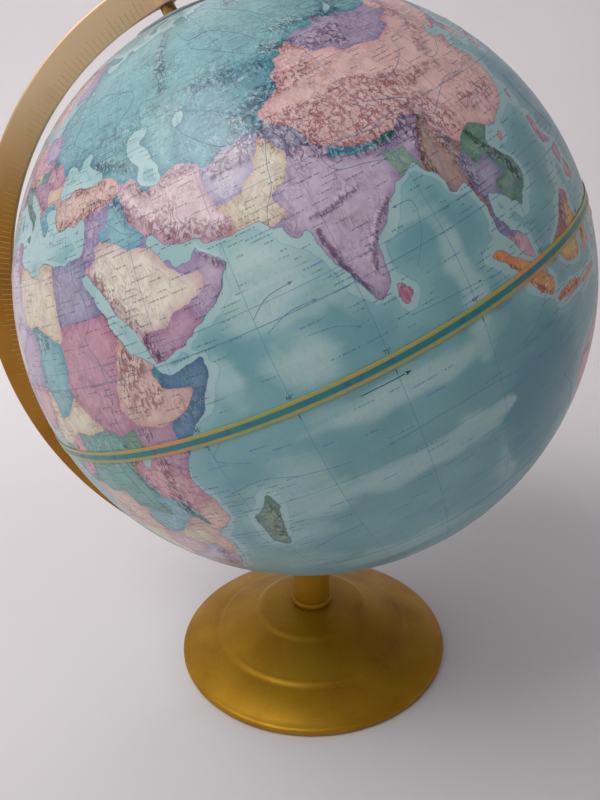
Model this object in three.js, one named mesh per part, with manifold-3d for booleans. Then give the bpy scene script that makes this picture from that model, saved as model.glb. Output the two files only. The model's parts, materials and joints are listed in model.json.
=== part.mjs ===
// Desktop globe on a stand: a raised-relief ball that turns on a tilted axle, held by a half-ring arm on a
// short post and a stepped round base. Millimetres, +Z up. The origin is the centre of the base's underside.
// The arm lies in the XZ plane, on the -X side of the ball.

import * as THREE from 'three';
import { mergeVertices } from 'three/addons/utils/BufferGeometryUtils.js';
import Module from 'manifold-3d';

const wasm = await Module();
wasm.setup();

// ---- Clearances ----
const seatGap = 0.3; // between two pieces that rest on each other
const runningGap = 0.35; // radial, between the axle and what turns or slides on it

// ---- Ball ----
const globeRadius = 152.4;
const axisTilt = THREE.MathUtils.degToRad(23.5);
const shellWall = 2;
const tapeWidth = 5.6;
const tapeThickness = 0.35;
const jointRingWidth = 20;
const jointRingWall = 1.2;

// ---- Bearings at the poles ----
const axleRadius = 2.4;
const bushingRadius = 4.9;
const bushingFlangeRadius = 8.5;
const bushingFlangeThickness = 0.6;
const bushingDepth = 4;
const retainerRadius = 9.5;
const retainerThickness = 1;
const collarRadius = 3.7;

// ---- Time dial ----
const dialRadius = 20;
const dialHubMargin = 0.5; // how far the dial's level hub reaches past the bushing's flange
const dialThickness = 0.6;
const dialRimLift = 0.6; // from the ball to the dial's rim

// ---- Arm ----
const armGap = 6.35; // from the ball to the arm's inner edge
const armDepth = 16.25; // radial size of the half ring
const armThickness = 4;
const armBossRadius = 6;
const armBossProud = 1; // how far a pole boss stands out past the arm's outer edge
const armRise = 1.5; // from the post's top to the arm's outer edge
const armFootInset = 3.7; // how much slimmer the foot's column is than the post
const armFootFlange = 2.7;
const armFootChamfer = 1;
const armSpigotDepth = 6;

// ---- Axle hardware ----
const axleWasherRadius = 5.6;
const axleWasherThickness = 0.8;
const capNutRadius = 7;
const capNutThread = 6;
const capNutCrown = 3; // from the end of the thread to the top of the dome
const hexNutAcrossFlats = 9;
const hexNutHeight = 3.6;
const axleTail = 1.4; // what shows of the axle past the hex nut

// ---- Post ----
const postRadius = 11.6;
const postWall = 1.5;
const postHeight = 27.5;
const footRingWall = 1.3;
const footRingHeight = 4.4;

// ---- Base shell ----
const baseRadius = 86;
const baseWall = 1;
const hemRadius = 2.4;
const rimStraight = 0.4; // upright height between the hem and the rounding above it
const rimRounding = 2.6;
const outerStepRadius = 60.7;
const outerStepRise = 9.1; // from the rim to the outer step
const innerStepRadius = 35.7;
const innerStepRise = 12.6; // from the outer step to the inner step
const seatRise = 3.9; // from the inner step to the post's seat
const seatMargin = 1.6; // level seat left round the foot ring
const stepLedge = 4.4; // width of the nearly level ledge at each step
const ledgeSlope = 0.06;

// ---- Under the base ----
const feltThickness = 1.2;
const boardThickness = 2.5;
const bearingPlateInset = 1.5; // from the edge of the level seat above it
const bearingPlateThickness = 1.6;
const boltRadius = 3;
const boltHoleGap = 0.4;
const boltReach = 9; // how far the bolt goes up into the arm's foot
const boltHeadAcrossFlats = 10;
const boltHeadHeight = 4;
const flatWasherRadius = 6.5;
const flatWasherThickness = 1.2;
const lockWasherRadius = 5.2;
const lockWasherThickness = 1.5;
const lockWasherSplit = 1;

// ---- Fineness of round surfaces ----
const ballSegments = 48;
const ballRows = 10;
const baseSegments = 44;
const bellSteps = 4; // on each curved stretch of the base's profile
const hemSteps = 5;
const armSteps = 48;
const postSegments = 28;
const smallSegments = 16;

// ---- Worked-out places along the axle, from the ball's centre ----
const ballInnerRadius = globeRadius - shellWall;
const facetSag = ballInnerRadius * (1 - Math.cos(Math.PI / 4 / ballRows)); // flat rows dip this far inwards
const armInnerRadius = globeRadius + armGap;
const armOuterRadius = armInnerRadius + armDepth;
const bossOuterFace = armOuterRadius + armBossProud;
const flangeInnerFace = globeRadius + seatGap / 2;
const flangeOuterFace = flangeInnerFace + bushingFlangeThickness;
const dialUnderside = flangeOuterFace + seatGap;
const dialTopFace = dialUnderside + dialThickness;
const axleBore = axleRadius + runningGap;
const poleHoleRadius = bushingRadius + seatGap;
const washerInnerFace = bossOuterFace + seatGap;
const nutInnerFace = washerInnerFace + axleWasherThickness + seatGap;

// ---- Worked-out sizes and heights in the stand ----
const rimHeight = hemRadius + rimStraight + rimRounding;
const outerStepHeight = rimHeight + outerStepRise;
const innerStepHeight = outerStepHeight + innerStepRise;
const seatHeight = innerStepHeight + seatRise;
const footRingInner = postRadius + seatGap;
const footRingOuter = footRingInner + footRingWall;
const seatRadius = footRingOuter + seatMargin;
const postTop = seatHeight + postHeight;
const globeCentreHeight = postTop + armRise + armOuterRadius;
const spigotRadius = postRadius - postWall - seatGap;
const armFootRadius = postRadius - armFootInset;
const boltHoleRadius = boltRadius + boltHoleGap;

// ---- Geometry helpers ----

// A solid of revolution about Z from a closed profile of [radius, height] pairs, counterclockwise.
function turned(profile, segments) {
	const points = profile.map(([radius, height]) => new THREE.Vector2(radius, height));
	if (THREE.ShapeUtils.area(points) < 0) points.reverse();
	points.push(points[0].clone());
	return new THREE.LatheGeometry(points, segments).rotateX(Math.PI / 2);
}

function ringSolid(inner, outer, bottom, top, segments = smallSegments) {
	return turned([[inner, bottom], [outer, bottom], [outer, top], [inner, top]], segments);
}

// A solid disc or shaft about Z.
function rod(radius, bottom, top, segments = smallSegments) {
	return new THREE.CylinderGeometry(radius, radius, top - bottom, segments)
		.rotateX(Math.PI / 2)
		.translate(0, 0, (bottom + top) / 2);
}

// Points along a circular arc about the origin, as [radius, height] pairs.
function arc(radius, fromAngle, toAngle, steps) {
	return Array.from({ length: steps + 1 }, (_, step) => {
		const angle = fromAngle + (toAngle - fromAngle) * step / steps;
		return [radius * Math.cos(angle), radius * Math.sin(angle)];
	});
}

function mirrored(profile) {
	return profile.map(([radius, height]) => [radius, -height]);
}

// A prism with a hexagonal outline across the given flats, with a round hole if one is asked for.
function hexPrism(acrossFlats, bottom, top, holeRadius = 0) {
	const corners = arc(acrossFlats / Math.sqrt(3), 0, 2 * Math.PI, 6).slice(1);
	const outline = new THREE.Shape(corners.map(([x, y]) => new THREE.Vector2(x, y)));
	if (holeRadius > 0) {
		outline.holes.push(new THREE.Path().absarc(0, 0, holeRadius, 0, 2 * Math.PI, true));
	}
	const options = { depth: top - bottom, bevelEnabled: false, curveSegments: smallSegments };
	return new THREE.ExtrudeGeometry(outline, options).translate(0, 0, bottom);
}

// A profile line moved sideways by a distance, to its right-hand side as it runs.
function offsetLine(line, distance) {
	return line.map(([x, y], index) => {
		const [x0, y0] = line[Math.max(index - 1, 0)];
		const [x1, y1] = line[Math.min(index + 1, line.length - 1)];
		const length = Math.hypot(x1 - x0, y1 - y0);
		return [x + (y1 - y0) / length * distance, y - (x1 - x0) / length * distance];
	});
}

// ---- Joining and cutting ----

function toSolid(geometry) {
	const bare = geometry.clone();
	bare.deleteAttribute('normal');
	bare.deleteAttribute('uv');
	const merged = mergeVertices(bare, 1e-4);
	const vertProperties = new Float32Array(merged.attributes.position.array);
	const triVerts = new Uint32Array(merged.index.array);
	return new wasm.Manifold(new wasm.Mesh({ numProp: 3, vertProperties, triVerts }));
}

function toGeometry(solid) {
	const mesh = solid.getMesh();
	const geometry = new THREE.BufferGeometry();
	geometry.setAttribute('position', new THREE.BufferAttribute(new Float32Array(mesh.vertProperties), 3));
	geometry.setIndex(new THREE.BufferAttribute(new Uint32Array(mesh.triVerts), 1));
	geometry.computeVertexNormals();
	return geometry;
}

// ---- Materials ----

function material(color, roughness, metalness = 0) {
	return new THREE.MeshStandardMaterial({ color, roughness, metalness });
}

const goldPaint = () => material(0x8a6a32, 0.42, 0.35);
const brass = () => material(0xa88c52, 0.3, 0.9);
const zincPlate = () => material(0xa8aaa6, 0.35, 0.9);
const mapPrint = () => material(0x83b9c0, 0.38);
const nylon = () => material(0xd8d4c4, 0.5);
const board = () => material(0x8c7656, 0.9);

function addPiece(group, name, geometry, finish) {
	const mesh = new THREE.Mesh(geometry, finish);
	mesh.name = name;
	group.add(mesh);
	return mesh;
}

// ---- Base ----

// The base shell's outer skin from the bolt hole out to the rolled hem, as [radius, height] pairs.
function baseSkin() {
	const skin = new THREE.Path();
	const ledgeHalf = stepLedge / 2;
	skin.moveTo(boltHoleRadius, seatHeight);
	skin.lineTo(seatRadius, seatHeight);
	skin.quadraticCurveTo(
		(seatRadius + innerStepRadius) / 2, seatHeight - seatRise * 0.2,
		innerStepRadius - ledgeHalf, innerStepHeight,
	);
	skin.lineTo(innerStepRadius + ledgeHalf, innerStepHeight - stepLedge * ledgeSlope);
	skin.quadraticCurveTo(
		outerStepRadius - stepLedge * 1.6, innerStepHeight - innerStepRise * 0.35,
		outerStepRadius - ledgeHalf, outerStepHeight,
	);
	skin.lineTo(outerStepRadius + ledgeHalf, outerStepHeight - stepLedge * ledgeSlope);
	skin.quadraticCurveTo(
		(outerStepRadius + baseRadius) / 2, rimHeight + outerStepRise * 0.62,
		baseRadius - rimRounding, rimHeight,
	);
	skin.quadraticCurveTo(baseRadius, rimHeight - rimRounding * 0.3, baseRadius, rimHeight - rimRounding);
	const hem = arc(hemRadius, 0, -Math.PI, hemSteps)
		.map(([radius, height]) => [baseRadius - hemRadius + radius, hemRadius + height]);
	return [...skin.getPoints(bellSteps).map(({ x, y }) => [x, y]), ...hem];
}

function baseShell() {
	const skin = baseSkin();
	return turned([...skin, ...offsetLine(skin, baseWall).reverse()], baseSegments);
}

function addBase(group) {
	const boardRadius = baseRadius - 2 * hemRadius - seatGap;
	const plateTop = seatHeight - baseWall - seatGap;
	const plateBottom = plateTop - bearingPlateThickness;
	const plateRadius = seatRadius - bearingPlateInset;
	const flatWasherTop = plateBottom - seatGap;
	const lockWasherTop = flatWasherTop - flatWasherThickness - seatGap;
	const headTop = lockWasherTop - lockWasherThickness - seatGap;
	const boardBottom = feltThickness + seatGap;
	addPiece(group, 'base_shell', baseShell(), goldPaint());
	addPiece(group, 'felt_pad', rod(boardRadius, 0, feltThickness, baseSegments), material(0x2c3a30, 0.95));
	const bottomBoard = rod(boardRadius, boardBottom, boardBottom + boardThickness, baseSegments);
	addPiece(group, 'bottom_board', bottomBoard, board());
	const plate = ringSolid(boltHoleRadius, plateRadius, plateBottom, plateTop, postSegments);
	addPiece(group, 'bearing_plate', plate, zincPlate());
	const flatWasherBottom = flatWasherTop - flatWasherThickness;
	const flatWasher = ringSolid(boltHoleRadius, flatWasherRadius, flatWasherBottom, flatWasherTop);
	addPiece(group, 'stem_flat_washer', flatWasher, zincPlate());
	addPiece(group, 'stem_lock_washer', lockWasher(lockWasherTop), zincPlate());
	addPiece(group, 'stem_bolt', stemBolt(headTop), zincPlate());
}

// A flat ring with a narrow split.
function lockWasher(top) {
	const bottom = top - lockWasherThickness;
	const ring = ringSolid(boltHoleRadius, lockWasherRadius, bottom, top);
	const split = new THREE.BoxGeometry(lockWasherRadius * 2, lockWasherSplit, lockWasherThickness * 2)
		.translate(lockWasherRadius, 0, (top + bottom) / 2);
	return toGeometry(toSolid(ring).subtract(toSolid(split)));
}

function stemBolt(headTop) {
	const head = hexPrism(boltHeadAcrossFlats, headTop - boltHeadHeight, headTop);
	const shank = rod(boltRadius, headTop - boltHeadHeight / 2, postTop + boltReach);
	return toGeometry(toSolid(head).add(toSolid(shank)));
}

// ---- Post ----

function addPost(group) {
	const bottom = seatHeight + seatGap;
	const tube = ringSolid(postRadius - postWall, postRadius, bottom, postTop, postSegments);
	addPiece(group, 'post', tube, goldPaint());
	const top = bottom + footRingHeight;
	const round = footRingWall * 0.8;
	const footRing = turned([
		[footRingInner, bottom], [footRingOuter, bottom], [footRingOuter, top - round],
		[footRingOuter - round * 0.3, top - round * 0.3], [footRingOuter - round, top], [footRingInner, top],
	], postSegments);
	addPiece(group, 'post_foot_ring', footRing, goldPaint());
}

// ---- Arm ----

// The half ring runs from the north pole over -X to the south pole. It is drawn about the ball's centre.
function halfRing() {
	const start = Math.PI / 2 + axisTilt;
	const outline = new THREE.Shape();
	outline.absarc(0, 0, armOuterRadius, start, start + Math.PI, false);
	outline.absarc(0, 0, armInnerRadius, start + Math.PI, start, true);
	const options = { depth: armThickness, bevelEnabled: false, curveSegments: armSteps };
	return new THREE.ExtrudeGeometry(outline, options)
		.translate(0, 0, -armThickness / 2)
		.rotateX(Math.PI / 2);
}

// The arm's foot stands on the post: a spigot inside the tube, a flange on its top edge and a round column
// that rises into the half ring. Heights are from the ball's centre.
function armFoot() {
	const flangeBottom = postTop + seatGap - globeCentreHeight;
	const flangeTop = flangeBottom + armFootFlange;
	const columnTop = -armInnerRadius - armDepth * 0.25;
	const spigotEnd = flangeBottom - armSpigotDepth;
	return turned([
		[0, spigotEnd], [spigotRadius, spigotEnd], [spigotRadius, flangeBottom], [postRadius, flangeBottom],
		[postRadius, flangeTop - armFootChamfer], [postRadius - armFootChamfer, flangeTop],
		[armFootRadius + armFootChamfer, flangeTop + armFootChamfer],
		[armFootRadius, flangeTop + 2 * armFootChamfer], [armFootRadius, columnTop - armFootChamfer],
		[armFootRadius - armFootChamfer, columnTop], [0, columnTop],
	], postSegments);
}

function meridianArm() {
	const poleBoss = rod(armBossRadius, armInnerRadius, bossOuterFace);
	const poleHole = rod(axleBore, armInnerRadius - armGap / 2, bossOuterFace + armGap);
	const boltHoleTop = postTop + boltReach + seatGap - globeCentreHeight;
	const boltHole = rod(boltHoleRadius, postTop - globeCentreHeight - 2 * armSpigotDepth, boltHoleTop);
	const tilted = (geometry, turn) => toSolid(geometry.clone().rotateY(turn - axisTilt));
	return toGeometry(
		toSolid(halfRing())
			.add(tilted(poleBoss, 0))
			.add(tilted(poleBoss, Math.PI))
			.add(toSolid(armFoot()))
			.subtract(tilted(poleHole, 0))
			.subtract(tilted(poleHole, Math.PI))
			.subtract(toSolid(boltHole)),
	);
}

// ---- Axle and its hardware, along the ball's axis ----

function addAxle(group) {
	const northEnd = nutInnerFace + capNutThread;
	const southEnd = nutInnerFace + hexNutHeight + axleTail;
	addPiece(group, 'axle_rod', rod(axleRadius, -southEnd, northEnd), zincPlate());
	const collarOuterEnd = armInnerRadius - seatGap;
	const northCollar = ringSolid(axleBore, collarRadius, dialTopFace + seatGap, collarOuterEnd);
	addPiece(group, 'north_collar', northCollar, brass());
	const southCollar = ringSolid(axleBore, collarRadius, -collarOuterEnd, -flangeOuterFace - seatGap);
	addPiece(group, 'south_collar', southCollar, brass());
	const washerOuterFace = washerInnerFace + axleWasherThickness;
	const northWasher = ringSolid(axleBore, axleWasherRadius, washerInnerFace, washerOuterFace);
	addPiece(group, 'north_washer', northWasher, brass());
	const southWasher = ringSolid(axleBore, axleWasherRadius, -washerOuterFace, -washerInnerFace);
	addPiece(group, 'south_washer', southWasher, zincPlate());
	addPiece(group, 'north_nut', capNut(), brass());
	const hexNut = hexPrism(hexNutAcrossFlats, -nutInnerFace - hexNutHeight, -nutInnerFace, axleBore);
	addPiece(group, 'south_nut', hexNut, zincPlate());
}

// A domed nut with a blind bore for the axle's end.
function capNut() {
	const boreEnd = nutInnerFace + capNutThread + seatGap;
	const top = boreEnd + capNutCrown;
	const shoulder = nutInnerFace + (top - nutInnerFace) * 0.55;
	const dome = arc(1, 0, Math.PI / 2, 4).map(([x, y]) => [capNutRadius * x, shoulder + (top - shoulder) * y]);
	return turned([
		[axleBore, nutInnerFace], [capNutRadius, nutInnerFace], ...dome.slice(0, -1), [0, top],
		[0, boreEnd], [axleBore, boreEnd],
	], smallSegments);
}

// ---- Time dial: a thin dished disc that follows the ball round the north pole ----

function timeDial() {
	const hubRadius = bushingFlangeRadius + dialHubMargin;
	const rimUnderside = Math.sqrt(globeRadius ** 2 - dialRadius ** 2) + dialRimLift;
	return turned([
		[axleBore, dialUnderside], [hubRadius, dialUnderside], [dialRadius, rimUnderside],
		[dialRadius, rimUnderside + dialThickness], [hubRadius, dialTopFace], [axleBore, dialTopFace],
	], ballSegments);
}

// ---- Ball ----

// The north half of the ball's shell, from the joint at the equator to the hole at the pole.
function hemisphereProfile() {
	const outer = arc(
		globeRadius, Math.asin(seatGap / 2 / globeRadius), Math.acos(poleHoleRadius / globeRadius), ballRows,
	);
	const inner = arc(
		ballInnerRadius, Math.acos(poleHoleRadius / ballInnerRadius), Math.asin(seatGap / 2 / ballInnerRadius),
		ballRows,
	);
	return [...outer, ...inner];
}

// A flanged sleeve in the pole hole: the flange lies on the ball and the sleeve reaches inside it.
function bushingProfile() {
	const innerEnd = ballInnerRadius - bushingDepth;
	return [
		[axleBore, innerEnd], [bushingRadius, innerEnd], [bushingRadius, flangeInnerFace],
		[bushingFlangeRadius, flangeInnerFace], [bushingFlangeRadius, flangeOuterFace], [axleBore, flangeOuterFace],
	];
}

// A push-on ring that holds the bushing from inside the ball.
function retainerProfile() {
	const top = Math.sqrt(ballInnerRadius ** 2 - retainerRadius ** 2) - facetSag - seatGap;
	const bottom = top - retainerThickness;
	return [[poleHoleRadius, bottom], [retainerRadius, bottom], [retainerRadius, top], [poleHoleRadius, top]];
}

function jointRing() {
	const halfWidth = jointRingWidth / 2;
	const outer = Math.sqrt(ballInnerRadius ** 2 - halfWidth ** 2) - facetSag - seatGap;
	return ringSolid(outer - jointRingWall, outer, -halfWidth, halfWidth, ballSegments);
}

function addBall(group) {
	const tapeInner = globeRadius + seatGap / 2;
	const tape = ringSolid(tapeInner, tapeInner + tapeThickness, -tapeWidth / 2, tapeWidth / 2, ballSegments);
	addPiece(group, 'north_hemisphere', turned(hemisphereProfile(), ballSegments), mapPrint());
	addPiece(group, 'south_hemisphere', turned(mirrored(hemisphereProfile()), ballSegments), mapPrint());
	addPiece(group, 'joint_ring', jointRing(), board());
	addPiece(group, 'equator_tape', tape, material(0x7d8f5a, 0.4));
	addPiece(group, 'north_bushing', turned(bushingProfile(), smallSegments), nylon());
	addPiece(group, 'south_bushing', turned(mirrored(bushingProfile()), smallSegments), nylon());
	addPiece(group, 'north_retainer', turned(retainerProfile(), smallSegments), zincPlate());
	addPiece(group, 'south_retainer', turned(mirrored(retainerProfile()), smallSegments), zincPlate());
}

// ---- Assembly ----

const globe = new THREE.Group();

const stand = new THREE.Group();
addBase(stand);
addPost(stand);
globe.add(stand);

const armHolder = new THREE.Group();
armHolder.position.z = globeCentreHeight;
addPiece(armHolder, 'meridian_arm', meridianArm(), goldPaint());
globe.add(armHolder);

// Everything on the axle is made about +Z and tilted as one group, north pole towards -X.
const tiltedAxis = new THREE.Group();
tiltedAxis.position.z = globeCentreHeight;
tiltedAxis.rotation.y = -axisTilt;
addAxle(tiltedAxis);
addPiece(tiltedAxis, 'time_dial', timeDial(), material(0x5b6460, 0.5));
addBall(tiltedAxis);
globe.add(tiltedAxis);

export default globe;
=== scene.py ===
"""Desktop globe on a stand: the looks of the part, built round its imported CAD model.

Everything stands in the part's own frame in metres: +Z up, the origin at the middle of the base's
underside. Lengths are written in millimetres and turned to metres where a mesh is made. What turns with the
ball is drawn about the ball's centre with the north pole up and longitude 0 on +X, and is then spun and
tilted into place.
"""

import json
import math

import bpy
import numpy as np
from mathutils import Matrix, Vector


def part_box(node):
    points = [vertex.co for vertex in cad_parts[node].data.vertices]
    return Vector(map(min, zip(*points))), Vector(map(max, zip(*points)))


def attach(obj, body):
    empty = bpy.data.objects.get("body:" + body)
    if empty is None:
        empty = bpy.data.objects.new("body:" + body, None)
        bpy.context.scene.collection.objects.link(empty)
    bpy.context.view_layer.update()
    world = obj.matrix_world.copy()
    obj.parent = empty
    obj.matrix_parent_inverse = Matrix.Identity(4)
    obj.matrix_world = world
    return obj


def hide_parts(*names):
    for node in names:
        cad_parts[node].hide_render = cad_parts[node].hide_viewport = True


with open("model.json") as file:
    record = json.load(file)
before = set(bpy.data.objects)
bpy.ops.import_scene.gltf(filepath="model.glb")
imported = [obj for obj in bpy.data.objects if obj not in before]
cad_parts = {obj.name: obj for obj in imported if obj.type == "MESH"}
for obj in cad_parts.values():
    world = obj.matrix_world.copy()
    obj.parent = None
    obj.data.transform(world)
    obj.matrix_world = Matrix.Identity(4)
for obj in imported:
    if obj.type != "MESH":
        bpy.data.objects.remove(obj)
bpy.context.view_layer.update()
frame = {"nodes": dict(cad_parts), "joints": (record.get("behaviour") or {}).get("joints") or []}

MM = 0.001
BALL_RADIUS = 152.4
SHELL_WALL = 2.0
DIAL_RADIUS = 20
REST_GAP = 0.3  # between faces that rest on each other
VIEWER_BEARING = -90  # degrees from +X to the viewer, who stands towards -Y
FACING_LONGITUDE = 65.1  # the meridian that faces the viewer at rest

spin = next(joint for joint in frame["joints"] if joint["name"] == "globe_spin")
ball_centre = Vector(spin["pos_m"])
axis = Vector(spin["axis"])
across = Vector((0, 1, 0))
tilt = Matrix((across.cross(axis), across, axis)).transposed().to_4x4()
TILTED = Matrix.Translation(ball_centre) @ tilt
BALL_PLACE = TILTED @ Matrix.Rotation(math.radians(VIEWER_BEARING - FACING_LONGITUDE), 4, "Z")
UPRIGHT = Matrix.Identity(4)


# ---- Camera: where the photographer stood ----

CAMERA_AT = (-20.90, -409.31, 334.28)
CAMERA_YAW = -2.34  # degrees from +Y, negative towards +X
CAMERA_PITCH = -21.58  # degrees from the level, negative downwards
CAMERA_ROLL = -1.60
CAMERA_LENS = 33.66
CAMERA_SENSOR = 36


def add_camera():
    camera = bpy.data.cameras.new("camera")
    camera.sensor_fit = "AUTO"
    camera.sensor_width = CAMERA_SENSOR
    camera.lens = CAMERA_LENS
    camera.clip_start = 0.01
    holder = bpy.data.objects.new("camera", camera)
    bpy.context.scene.collection.objects.link(holder)
    holder.matrix_world = (
        Matrix.Translation(Vector(CAMERA_AT) * MM)
        @ Matrix.Rotation(math.radians(CAMERA_YAW), 4, "Z")
        @ Matrix.Rotation(math.radians(90 + CAMERA_PITCH), 4, "X")
        @ Matrix.Rotation(math.radians(CAMERA_ROLL), 4, "Z")
    )
    bpy.context.scene.camera = holder


add_camera()


# ---- Geography: outlines as "longitude latitude" pairs in degrees, east and north positive ----

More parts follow.
